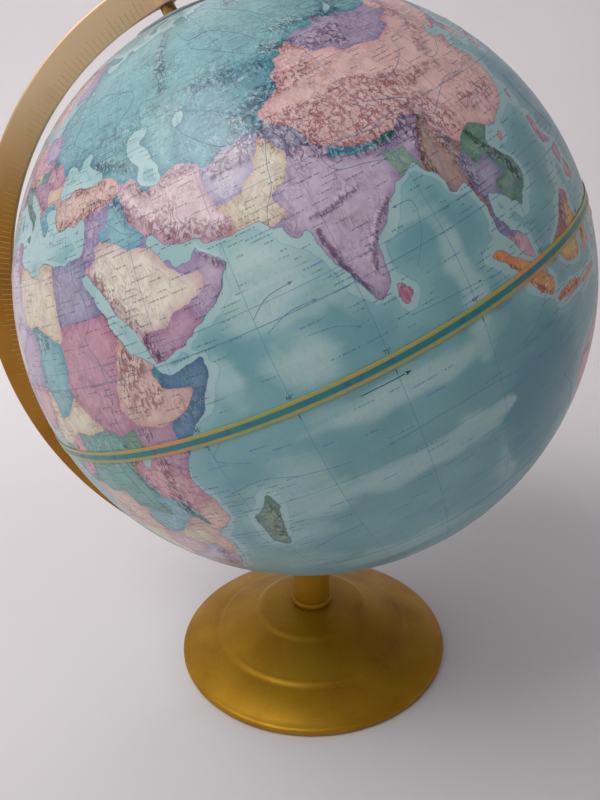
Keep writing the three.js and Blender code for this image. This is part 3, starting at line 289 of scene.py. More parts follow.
# Later outlines cover earlier ones, so the later of two neighbours draws their border. Outlines run out to
# sea past the coast. Each row is a region's name, its tint and its outline.
REGIONS = [
    ("soviet", "teal", """19 54.4, 22.8 54.4, 23.5 53.9, 23.9 52.8, 23.6 51.6, 24 50.6, 22.6 49.1,
        22.6 48.1, 24.9 47.8, 26.6 48.2, 28.1 46.8, 28.2 45.3, 30 45, 34 43, 40 43, 45 36, 60 34,
        74 35, 80 40, 95 45, 125 45, 130 42, 138 43, 143 45.8, 150 45, 157 50, 172 53, 190 62,
        191.5 66.2, 192 72, 180 85, 30 85, 35 72, 30.8 69.8, 29 69.1, 28.5 68.5, 30 66, 29.5 64.5,
        31.5 62.8, 27.7 60.5, 26 59.8, 20 59"""),
    # The steppe's deeper teal is partly printed relief shading and partly painted shade that damps the
    # window's highlight there.
    ("steppe", "deep_teal_and_shade", """57 40, 58 42, 62 46, 66 49, 72 48.5, 78 49, 83 47, 84 43, 76 38,
        66 35, 60 36"""),
    ("china", "salmon", """73.8 39.5, 76 40.4, 80.2 42.1, 80.3 44.8, 82.5 45.3, 83 47.2, 85.6 47.2,
        85.6 48.3, 87.5 49.1, 95 46.5, 112 46, 116.7 49.8, 119.9 52.8, 121 53.3, 123.7 53.5,
        127.5 50.2, 130.9 47.8, 134.8 48.4, 133.1 45.1, 131.1 44.9, 130.6 42.4, 128 42, 126 41.2,
        124.3 40, 121 38, 124 34, 123 28, 119 23, 112 17.6, 107 18.6, 108 21.5, 106.5 22.6,
        105.3 23.3, 102.5 22.6, 101.2 21.3, 98.9 24.1, 97.6 24.8, 98.7 27.6, 97.4 28.3, 94.5 29.2,
        92 27.8, 88.1 27.9, 86 28, 84 28.8, 81.5 30.3, 79 31.5, 78.7 33.5, 77.8 35.5, 74.9 37.3"""),
    ("mongolia", "lilac", """87.8 49.2, 92.3 50.8, 94.6 50.1, 98 50.4, 98.3 52.1, 102.2 51.4,
        102.3 50.6, 106.7 50.3, 110.7 49.2, 114.5 50.2, 116.7 49.8, 115.6 47.8, 119.8 46.7,
        111.9 45.1, 112 43.6, 105 41.6, 100.3 42.6, 96.3 42.8, 95.4 44.3, 91 45.2, 90.6 46.8"""),
    ("north_korea", "lilac", """124.3 40, 126 41.2, 128 42, 130.6 42.4, 131.5 41, 128.4 38.6,
        126.5 37.8, 124.3 37.8"""),
    ("south_korea", "cream", "126.5 37.8, 128.4 38.6, 131 37, 129.9 34.5, 125.6 33.6, 125 37"),
    ("japan", "pink", "129 30, 129.3 34.3, 131 36, 138 40.5, 140 45.8, 147 44.5, 143 34, 135 30"),
    ("taiwan", "pink", "119.6 21, 119.6 26, 122.5 26, 122.5 21"),
    ("turkey", "peach", """27.9 42.2, 41.5 41.5, 43.5 41.1, 44.8 39.7, 44.4 37.9, 42.4 37.1,
        40 36.8, 36.7 36.7, 35.9 35.8, 33 35.8, 28 35.6, 25.4 38, 25.8 40.6, 26.5 41.6"""),
    ("iran", "rose", """44.8 39.7, 46.5 38.9, 48 39.6, 48.9 38.4, 50 36, 53.9 37.3, 57.2 38.2,
        61.1 36.6, 60.6 34, 61 31.4, 61.8 31, 60.9 29.8, 63.2 27.2, 61.6 24.6, 57.2 24.8, 56.4 26.5,
        53 26.2, 50 28.6, 48.5 29.9, 47.7 31, 46 33, 45.5 35, 44.8 37.2"""),
    ("iraq", "aqua", """44.6 37.3, 42.4 37.1, 41.3 36.4, 41.2 34.4, 38.8 33.4, 39.2 32.2, 42.1 31.1,
        44.7 29.2, 46.5 29.1, 48.7 29.6, 47.7 31, 46 33, 45.5 35"""),
    ("syria", "lilac", """35.4 36, 36.7 36.7, 42.4 37.1, 41.2 34.4, 38.8 33.4, 36.8 32.3, 35.7 33.3,
        35 34.4"""),
    ("jordan", "lilac", """35.6 33.4, 36.8 32.3, 38.8 33.4, 39.2 32.2, 37 31.5, 38 30.5, 36 29.2,
        34.9 29.3, 34.2 31.3, 34.6 33"""),
    ("arabia", "cream", """34.9 29.4, 36 29.2, 38 30.5, 37 31.5, 39.2 32.2, 42.1 31.1, 44.7 29.2,
        46.5 29.1, 47.7 28.5, 50.4 28.5, 51 27, 50.9 24.7, 51.6 24.2, 52.6 22.9, 55.2 22.7, 55.7 22,
        55 20, 52 19, 49 18.6, 47.5 17, 44.5 17.4, 43.2 17.3, 42.7 16.4, 38 20, 34 28"""),
    ("kuwait", "lilac", "46.5 29.1, 47.9 30.1, 48.9 28.8, 47.7 28.5"),
    ("emirates", "plum", """50.6 24.7, 50.6 26.5, 54 25.4, 56.2 26.6, 56.7 24.6, 56 24.1, 55.2 22.7,
        52.6 22.9, 51.6 24.2"""),
    ("oman", "plum", """53.1 16.6, 52 19, 55 20, 55.7 22, 55.2 22.7, 56 24.1, 56.3 25, 58.4 24.8,
        60.6 22.8, 58 17"""),
    ("yemen", "mauve", """42.6 16.5, 43.2 17.3, 44.5 17.4, 47.5 17, 49 18.6, 52 19, 53.1 16.6,
        52.4 14.4, 45 12.2, 43 12.3, 42.3 14.6"""),
    ("afghanistan", "pale_lilac", """61.1 36.6, 61.3 35.6, 62.2 35.3, 64.5 36.4, 66.5 37.4, 68 37,
        70.2 37.9, 71.5 36.7, 74.9 37.3, 71.6 36, 71 34.3, 69.5 33.5, 69.3 31.9, 66.5 31, 66.3 29.9,
        62.5 29.4, 60.9 29.8, 61.8 31, 61 31.4, 60.6 34"""),
    ("pakistan", "straw", """60.9 29.8, 62.5 29.4, 66.3 29.9, 66.5 31, 69.3 31.9, 69.5 33.5,
        71 34.3, 71.6 36, 74.5 37, 76 35, 74 33, 75 32.3, 73.9 30, 72 28.2, 70 27.8, 69.6 27,
        70.5 25.7, 71 24.4, 68.2 23.7, 66 24.2, 61.6 24.4, 63.2 27.2"""),
    ("india", "plum", """68.2 23.7, 71 24.4, 70.5 25.7, 69.6 27, 70 27.8, 72 28.2, 73.9 30, 75 32.3,
        76 32, 79 31.5, 81 30.2, 80.1 28.8, 84 27.4, 88.1 26.5, 88.8 27.3, 92 27.8, 94.5 29.2,
        97.4 28.3, 97.2 27.2, 95.2 26.3, 94.2 24, 93.3 22.8, 92.4 22.2, 92.2 23.7, 91.2 23.5,
        92.3 25, 89.8 25.4, 88.1 25.9, 88.1 24.3, 89 22, 88 20, 81.4 13, 80.4 9.9, 79.3 9.6,
        77.5 7.2, 72 15, 70.5 20, 67.6 22.6"""),
    ("kashmir", "violet", "74 37, 77.8 35.5, 78.9 33.5, 79 31.6, 76 32, 74.2 33, 73.8 34.7, 72.3 36.2"),
    ("nepal", "aqua", "80.1 28.8, 81.2 30.2, 84 28.8, 86 28, 88.1 27.9, 88.1 26.5, 84 27.4"),
    ("bhutan", "jade", "88.8 27.3, 90 28.2, 92 27.8, 92 26.9, 89 26.7"),
    ("bangladesh", "sage", """88.1 25.9, 89.8 25.4, 92.3 25, 91.2 23.5, 92.2 23.7, 92.4 21, 89 21.2,
        88.1 24.3"""),
    ("burma", "tan", """92.2 20.8, 92.6 22, 94.2 24, 95.2 26.3, 97.2 27.6, 98.7 27.6, 97.6 24.8,
        98.9 24.1, 101.2 21.3, 100 20.3, 97.8 18.5, 98.6 16, 98.2 15, 99.5 12, 98.7 9.8, 97 10,
        95 15, 93 18"""),
    ("thailand", "violet", """100 20.3, 100.6 19.5, 101.2 17.5, 102.5 18, 104 18.3, 104.8 16,
        105.5 14.4, 102.9 14.2, 102.3 13.5, 102.9 11.7, 101 12, 101.4 7.6, 102 6.2, 101 5.7,
        100.1 6.5, 98 7, 98.7 10, 99.5 12, 98.2 15, 98.6 16, 97.8 18.5"""),
    ("vietnam", "leaf", """102.1 22.4, 105.3 23.3, 108.2 21.6, 108.6 18, 110 14, 109.8 11, 107 8.2,
        104.4 8.2, 104.4 10.4, 106 11.5, 107.5 12.3, 107.4 14.4, 107.5 15.2, 105 18.7, 104.5 20.4"""),
    ("laos", "leaf", """101.2 21.3, 102.1 22.4, 104.5 20.4, 105 18.7, 107.5 15.2, 107.4 14.4,
        105.5 14.4, 104.8 16, 104 18.3, 102.5 18, 101.2 17.5, 100.6 19.5, 100 20.3"""),
    ("cambodia", "leaf", """102.3 13.5, 102.9 14.2, 105.5 14.4, 107.4 14.4, 107.5 12.3, 106 11.5,
        104.4 10.4, 103 10, 102.5 11.7"""),
    ("indonesia", "yellow", """94 7, 100 4.2, 104.6 1.2, 106.8 4, 112 5, 120 5, 127 5, 132 1.5,
        141 1, 141 -10, 127 -12, 105 -12, 94 -2"""),
    ("malaya", "rose", "99.4 6.6, 100.1 6.5, 101 5.7, 102 6.2, 104.6 4, 104.6 1.2, 101 2, 99.4 5"),
    ("sarawak", "red", "109 2.4, 110 1.2, 111.5 1, 114.5 1.5, 115.8 4.3, 120 4, 120 6, 117 8, 112 4.6"),
    ("philippines", "pink", "116.4 7.8, 119.3 5.4, 127.5 5, 127.5 19.5, 119.3 19.5"),
    ("papua", "salmon", "141 0, 160.5 -4, 164 -11, 152 -12, 141 -9.6"),
    ("sri_lanka", "magenta", "79.4 10, 82.5 10, 82.5 5, 79.4 5"),

    ("norway", "straw", """30.8 69.8, 29 69.1, 27 70, 25 68.6, 20.5 69.1, 18 68.4, 15.5 66.2,
        13.6 64.3, 12 63.5, 12.3 61, 11.5 58.9, 10 57.8, 5 57.6, 3 62, 12 68, 26 72, 33 71"""),
    ("sweden", "pale_pink", """20.5 69.1, 18 68.4, 15.5 66.2, 13.6 64.3, 12 63.5, 12.3 61,
        11.5 58.9, 12.3 55.6, 14 54.9, 17.5 56, 20 59, 19.4 62, 23 65, 24 66, 23.7 67.9"""),
    ("finland", "lilac", """20.5 69.1, 23.7 67.9, 24 66, 23 65, 20.5 63, 20 59.9, 25 59.8,
        27.7 60.5, 31.5 62.8, 29.5 64.5, 30 66, 28.5 68.5, 29 69.1, 27 70, 25 68.6"""),
    ("denmark", "rose", "8 54.9, 12.8 54.4, 12.7 56, 11 58, 7.6 57.4"),
    ("iceland", "salmon", "-26 62, -26 68, -12 68, -12 62"),
    ("britain", "pink", "-5.8 55.6, -7 59.5, 2.5 59.5, 2.2 51.4, -6.2 49.4, -5 53"),
    ("ireland", "jade", "-11 51, -11 56, -6 55.4, -5.2 54, -6 51.6"),
    ("portugal", "leaf", "-9 42, -6.5 41.9, -7 38, -7.4 36.5, -10 36.6, -10 42"),
    ("spain", "straw", """-10 44.5, -1.8 43.3, 3.2 42.5, 5 40, 0 36, -5 35.9, -7.4 36.5, -7 38,
        -6.5 41.9, -9 42, -10 42"""),
    ("france", "pale_lilac", """-5.5 49, 2.5 51.2, 4.5 50, 8.2 49, 7.6 47.6, 6.2 46.3, 7 45.6,
        7.5 43.6, 10 42.8, 9.6 41.3, 8 41.5, 5 42.7, 3.2 42.5, -1.8 43.3, -4 45"""),
    ("low_countries", "salmon", "2.5 51.2, 4.5 50, 6 49.5, 6.1 51.5, 7.1 53.6, 4 53.8"),
    ("germany", "pink", """6 49.5, 8.2 49, 7.6 47.6, 13 47.6, 13.8 48.8, 12.2 50.2, 15 51,
        14.2 54.4, 8 54.9, 7.1 53.6, 6.1 51.5"""),
    ("switzerland", "lilac", "6.2 46.3, 7.6 47.6, 9.6 47.5, 10.4 46.6, 9 45.9, 7 45.9"),
    ("italy", "leaf", """7 45.9, 9 45.9, 10.4 46.6, 13.7 46.5, 13.7 45.6, 12.8 44, 18.8 40.4,
        16.8 36, 12 36.4, 8 38.6, 8 41.3, 9.8 41.3, 10 42.6, 7.5 43.6, 7 45.6"""),
    ("austria", "straw", "9.6 47.5, 10.4 46.6, 13.7 46.5, 16.2 46.9, 17 48, 15 49, 13 48.6, 13 47.6"),
    ("czechoslovakia", "rose", """12.2 50.2, 13.8 48.8, 15 49, 17 48, 19 48, 22.4 48.3, 22.6 49.1,
        18.8 49.5, 15 51"""),
    ("poland", "lilac", """14.2 54.4, 15 51, 18.8 49.5, 22.6 49.1, 24 50.6, 23.6 51.6, 23.9 52.8,
        23.5 53.9, 22.8 54.4, 18.5 55"""),
    ("hungary", "leaf", "16.2 46.9, 17 48, 19 48, 22.4 48.3, 21 46.2, 18.8 45.9"),
    ("romania", "pink", """21 46.2, 22.4 48.3, 24.9 47.8, 26.6 48.2, 28.1 46.8, 28.2 45.3, 30 45.2,
        28.6 43.7, 25.5 43.7, 22.6 44.2, 21.4 44.8"""),
    ("bulgaria", "straw", "22.6 44.2, 25.5 43.7, 29 43.7, 28.3 42, 26.4 41.8, 23 41.4, 22.4 42.4"),
    ("yugoslavia", "mauve", """13.7 46.5, 16.2 46.9, 18.8 45.9, 21 46.2, 21.4 44.8, 22.6 44.2,
        22.4 42.4, 23 41.4, 21 40.9, 20.4 42, 19.3 41.9, 13.5 44.4, 13.7 45.6"""),
    ("albania", "salmon", "19.3 41.9, 20.4 42.3, 21 40.9, 20.2 39.5, 19 40.4"),
    ("greece", "aqua", """20 39.6, 21 40.9, 23 41.4, 26.4 41.6, 26 40.4, 25.6 38, 26.6 35, 23 34.6,
        20 37.5"""),

    ("morocco", "rose", """-8.7 27.7, -8.7 28.8, -5 30, -1.2 32.2, -1.8 35.2, -5.4 36, -10.5 33,
        -13.5 27.7"""),
    ("west_sahara", "straw", "-8.7 27.7, -13.5 27.9, -18 21, -13 21.3, -13 23, -12 26, -8.7 26"),
    ("algeria", "pale_lilac", """-8.7 27.3, -8.7 28.8, -5 30, -1.2 32.2, -1.8 35.2, 3 37.5,
        8.6 37.2, 8.2 34.5, 7.6 33.2, 9.5 30.2, 10 27, 9.9 24.4, 11.9 23.5, 5.6 19.2, 3.2 19.2,
        1.2 21.2, -4.8 25"""),
    ("tunisia", "mauve", "8.6 37.2, 11.5 37.5, 11.6 33.2, 10.2 31.4, 9.5 30.2, 7.6 33.2, 8.2 34.5"),
    ("libya", "straw", """11.6 33.2, 10.2 31.4, 9.5 30.2, 10 27, 9.9 24.4, 11.9 23.5, 14.2 22.6,
        16 23.4, 24 19.5, 24 20, 25 20, 25 33, 15 33"""),
    ("egypt", "violet", "25 32.5, 25 22, 36.9 22, 35.2 25, 34.2 28, 34.9 29.4, 34.2 31.5, 30 32.2"),
    ("sudan", "magenta", """25 22, 36.9 22, 38.4 18, 37 17, 36.2 14, 34.2 11, 34 9.5, 33 7.8, 35 5,
        30.8 3.5, 27.4 5, 24.2 8.7, 23.6 9, 22.4 12.8, 24 15.7, 24 20, 25 20"""),
    ("mauritania", "pale_pink", """-17.5 21, -13 21.3, -13 23, -12 26, -8.7 26, -8.7 27.3, -4.8 25,
        -5.5 15.5, -12 15, -16.8 16.2"""),
    ("mali", "straw", """-4.8 25, 1.2 21.2, 3.2 19.2, 4.2 19.2, 4 15.5, 0.5 15, -4 12.5, -6 10.3,
        -11.4 12.2, -12 15, -5.5 15.5"""),
    ("niger", "lilac", """4.2 19.2, 5.6 19.2, 11.9 23.5, 14.2 22.6, 15.8 20, 13.5 14, 9 13,
        4.5 13.6, 2.3 12, 0.5 15, 4 15.5"""),
    ("chad_state", "teal", """14.2 22.6, 16 23.4, 24 19.5, 24 15.7, 22.4 12.8, 22.6 11, 18.6 8,
        15.5 7.5, 15.5 10, 14 12.8, 13.5 14, 15.8 20"""),
    ("nigeria", "pink", "4.5 13.6, 9 13, 14 13, 12 7.4, 9 4, 4 4.2, 2.6 6.5, 3.6 11.7"),
    ("cameroon", "straw", "14 12.8, 15.5 10, 15 7, 16 3.5, 15.9 2, 9.4 2.2, 8.6 4.2, 12 7.4"),
    ("central_africa", "straw", "15 7, 18.6 8, 22.6 11, 24.2 8.7, 27.4 5, 22.5 4.2, 18.5 5, 16 3.5"),
    ("guinea_coast", "aqua", "-18 16, -12 15, -11.4 12.2, -8 11, -8 7.5, -11.5 6.8, -14 8, -17.5 12"),
    ("liberia", "mauve", "-11.5 6.8, -8.4 8, -7.6 4, -9 4"),
    ("ivory_coast", "pink", "-8.4 10.4, -2.7 9.5, -3 4.6, -7.5 3.8, -8.4 7"),
    ("ghana", "leaf", "-2.7 11, 0.2 11, 1.2 5.6, -3 4.4"),
    ("burkina", "rose", "-5.4 10.4, -4 13, 0.5 15, 2.3 12, 0 11, -2.7 11, -2.7 9.5"),
    ("benin", "lilac", "0.2 11, 2.3 12.2, 3.6 11.7, 2.6 5.8, 1.2 5.6"),
    ("ethiopia", "peach", """36.2 14, 37 17, 38.4 18.2, 43.2 12.4, 42 11, 42.8 9, 48 8, 45 5,
        42 4.2, 39.5 3.5, 36 4.5, 35 5, 33 7.8, 34 9.5, 34.2 11"""),
    ("djibouti", "teal", "42.2 12.6, 43.6 12.6, 43.4 10.8, 41.8 11"),
    ("somalia", "steel", """42.8 11.2, 42.8 9, 48 8, 45 5, 42 4.2, 41 2.8, 41 -0.9, 41.8 -2.2, 49 4,
        52.5 12.6, 44 11.6"""),
    ("kenya", "mauve", """34 4.4, 36 4.5, 39.5 3.5, 42 4.2, 41 2.8, 41 -0.9, 41.8 -2.2, 39.4 -4.8,
        34 -1, 34 0.3"""),
    ("uganda", "leaf", "30.8 3.5, 34 4.4, 34 -1, 29.6 -1.4"),
    ("zaire", "jade", """18.5 5, 22.5 4.2, 27.4 5, 30.8 3.5, 29.6 -1.4, 29.2 -4, 30.6 -8.4, 28.4 -9,
        29.8 -12.2, 29 -13.4, 22 -11, 21.8 -7.3, 17 -7.5, 16.2 -5.8, 12 -6, 12.5 -4.6, 16 -3.5,
        18 0"""),
    ("congo", "pink", "16 3.5, 18.5 5, 18 0, 16 -3.5, 12.5 -4.6, 11 -4, 14 -1, 13.2 2.2"),
    ("gabon", "jade", "9.4 2.2, 13.2 2.2, 14 -1, 11 -4, 8 -0.8"),
    ("rwanda", "straw", "29.2 -1.3, 30.8 -1.2, 30.6 -3.4, 29.4 -4.4, 29 -2.8"),
    ("tanzania", "pink", """30.8 -1, 34 -1, 39.4 -4.8, 41 -10.4, 34.8 -11.6, 32.8 -9.4, 30.6 -8.4,
        29.4 -4.4"""),
    ("angola", "peach", """12 -5.8, 16.2 -5.8, 17 -7.5, 21.8 -7.3, 22 -11, 24 -11, 24 -13, 22 -13,
        23.4 -17.6, 11.6 -17.3, 12 -10"""),
    ("zambia", "aqua", """22 -13, 24 -13, 24 -11, 29 -13.4, 29.8 -12.2, 28.4 -9, 32.8 -9.4,
        33.2 -14, 30.2 -15.6, 27 -18, 23.4 -17.6"""),
    ("malawi", "jade", "32.8 -9.4, 34.8 -11.6, 35.8 -16, 35 -17, 34.4 -14.4, 33.2 -14"),
    ("mozambique", "peach", """34.8 -11.6, 41 -10.4, 41.4 -15, 35.8 -21, 36 -25, 32 -27, 31.3 -22.4,
        33 -20, 32.8 -16.6, 30.2 -15.6, 33.2 -14, 34.4 -14.4, 35 -17, 35.8 -16"""),
    ("zimbabwe", "straw", """25.3 -17.8, 27 -18, 30.2 -15.8, 32.8 -16.6, 33 -20, 31.3 -22.4,
        29.4 -22.2, 26 -20.4"""),
    ("botswana", "rose", "21 -18.3, 25.3 -17.8, 26 -20.4, 29.4 -22.2, 25.6 -25.6, 20.8 -26.8, 20 -22"),
    ("namibia", "straw", """11.6 -17.3, 23.4 -17.6, 25.3 -17.8, 21 -18.3, 20 -22, 20 -28.4,
        16.5 -28.6, 14 -26"""),
    ("south_africa", "pale_lilac", """16.5 -28.6, 20 -28.4, 20 -25, 20.8 -26.8, 25.6 -25.6,
        29.4 -22.2, 31.3 -22.4, 32 -27, 33 -27, 27 -35, 18 -36"""),
    ("lesotho", "pink", "27 -29.6, 28.6 -28.6, 29.4 -29.4, 28.2 -30.6"),
    ("madagascar", "leaf", "42 -10, 52 -10, 52 -27, 42 -27"),

    ("australia", "pink", "110 -9.8, 142.4 -9.8, 156 -24, 152 -45, 112 -38"),
    ("zealand", "straw", "164 -33, 180 -33, 180 -48, 164 -48"),

    ("canada", "pink", """-141 72, -141 60.3, -137.5 59, -135.5 59.8, -130 56, -130.5 54.7, -134 54,
        -124 48.4, -123 49, -95.2 49, -94.6 48.7, -92 48.2, -89.5 48, -84.6 46.5, -82.5 45.3,
        -82.4 43, -83.1 42, -79 42.7, -76.4 44.1, -74.7 45, -71.5 45, -70.3 46.2, -69.2 47.4,
        -67.8 47.1, -67.2 45.1, -64 42, -50 46, -54 60, -62 68, -75 77, -60 84, -130 80"""),
    ("states", "straw", """-124.8 48.4, -123 49, -95.2 49, -94.6 48.7, -92 48.2, -89.5 48,
        -84.6 46.5, -82.5 45.3, -82.4 43, -83.1 42, -79 42.7, -76.4 44.1, -74.7 45, -71.5 45,
        -70.3 46.2, -69.2 47.4, -67.8 47.1, -67.2 45.1, -67 43, -74 38, -79 26, -82 24, -97.1 25.9,
        -99.2 26.5, -101.4 29.8, -103 29, -104.5 29.6, -106.5 31.8, -108.2 31.4, -111 31.4,
        -114.8 32.5, -117.2 32.5, -122 33, -126 42"""),
    ("alaska", "straw", """-141 72, -141 60.3, -137.5 59, -135.5 59.8, -130 56, -130.5 54.7,
        -136 54, -150 58, -168 52, -170 66, -165 72"""),
    ("mexico", "leaf", """-97.1 25.9, -99.2 26.5, -101.4 29.8, -103 29, -104.5 29.6, -106.5 31.8,
        -108.2 31.4, -111 31.4, -114.8 32.5, -117.2 32.5, -118 28, -106 19, -94 14, -92.2 14.5,
        -91.4 16.1, -91 17.8, -89 17.9, -87.6 18.4, -86 22, -96 21"""),
    ("guatemala", "lilac", "-92.2 14.5, -91.4 16.1, -91 17.8, -88.6 18.4, -87.4 17, -89.2 15, -90 13"),
    ("honduras", "pink", "-88.6 16.4, -89.2 14.6, -90 13, -87.5 12.8, -86 13.8, -83 15, -84 16.6"),
    ("nicaragua", "straw", "-87.8 12.8, -86 13.8, -83 15, -83 11, -85.8 11"),
    ("panama", "rose", "-85.8 11, -83.4 11, -77.3 9.4, -77.8 7, -83 7, -87 10"),
    ("cuba", "pink", "-86 21, -84 24, -73.5 21, -75 19"),
    ("hispaniola", "jade", "-75 17, -75 20.6, -67 20, -67 17"),
    ("colombia", "straw", """-77.8 7, -77.3 9, -75 12, -71.3 12.8, -72.6 9.5, -72.4 7.4, -67.5 6.2,
        -67.8 2, -69.8 1.2, -69.9 -4.2, -75.2 -0.2, -79.2 1.2"""),
    ("venezuela", "lilac", """-71.3 12.8, -72.6 9.5, -72.4 7.4, -67.5 6.2, -67.8 2, -64 1, -63 3.8,
        -61 5, -61.2 7.5, -59.6 8.4, -61 12"""),
    ("guyana", "jade", "-59.6 8.4, -61.2 7.5, -61 5, -59.8 1.4, -57.3 2, -57.2 6.4"),
    ("surinam", "pink", "-57.2 6.4, -57.3 2, -52.6 2.3, -51.4 4.6, -54 6.6"),
    ("ecuador", "leaf", "-79.2 1.2, -75.2 -0.2, -78.6 -4.9, -80.4 -4.4, -82 -2"),
    ("brazil", "rose", """-51.4 4.6, -52.6 2.3, -57.3 2, -59.8 1.4, -61 5, -63 3.8, -64 1, -67.8 2,
        -69.8 1.2, -69.9 -4.2, -73 -5, -73.6 -7.5, -70.6 -9.6, -70.6 -11, -65.4 -11.2, -62 -13.4,
        -60.2 -15.2, -58.2 -17, -57.8 -20.5, -58 -22, -55.8 -22.3, -54.3 -25.6, -53.7 -27,
        -57.6 -30.2, -53.4 -33.8, -48 -33, -33 -8, -45 2"""),
    ("peru", "pink", """-80.4 -3.4, -78.6 -4.9, -75.2 -0.2, -69.9 -4.2, -73 -5, -73.6 -7.5,
        -70.6 -9.6, -68.8 -12.5, -69.5 -17.4, -70.4 -18.4, -76 -16, -82.5 -5"""),
    ("bolivia", "straw", """-70.6 -11, -65.4 -11.2, -62 -13.4, -60.2 -15.2, -58.2 -17, -58.2 -19.8,
        -62.6 -22.1, -67.8 -22.8, -69.5 -17.4, -68.8 -12.5"""),
    ("paraguay", "lilac", """-62.6 -22.1, -58.2 -19.8, -57.8 -22, -55.8 -22.3, -54.3 -25.6,
        -58.6 -27.2, -57.6 -25.2"""),
    ("uruguay", "mauve", "-57.6 -30.2, -53.4 -33.8, -55 -35.4, -58.4 -34"),
    ("argentina", "pale_lilac", """-67.8 -22.8, -62.6 -22.1, -57.6 -25.2, -58.6 -27.2, -53.7 -27,
        -57.6 -30.2, -58.4 -34, -55.5 -36, -62 -46, -64 -55.4, -68.6 -54.8, -68.4 -52.4,
        -72.3 -51.8, -72 -47, -71.3 -40, -69.8 -33, -68.5 -27"""),
    ("chile", "jade", """-70.4 -18.4, -69.2 -18, -67.8 -22.8, -68.5 -27, -69.8 -33, -71.3 -40,
        -72 -47, -72.3 -51.8, -68.4 -52.4, -68.6 -56, -77 -56, -73 -18.4"""),
    ("greenland", "pale_lilac", "-75 77, -62 84, -20 85, -10 72, -40 58, -56 66, -62 75"),
    ("antarctica", "ice", "-180 -60, 180 -60, 180 -91, -180 -91"),
]

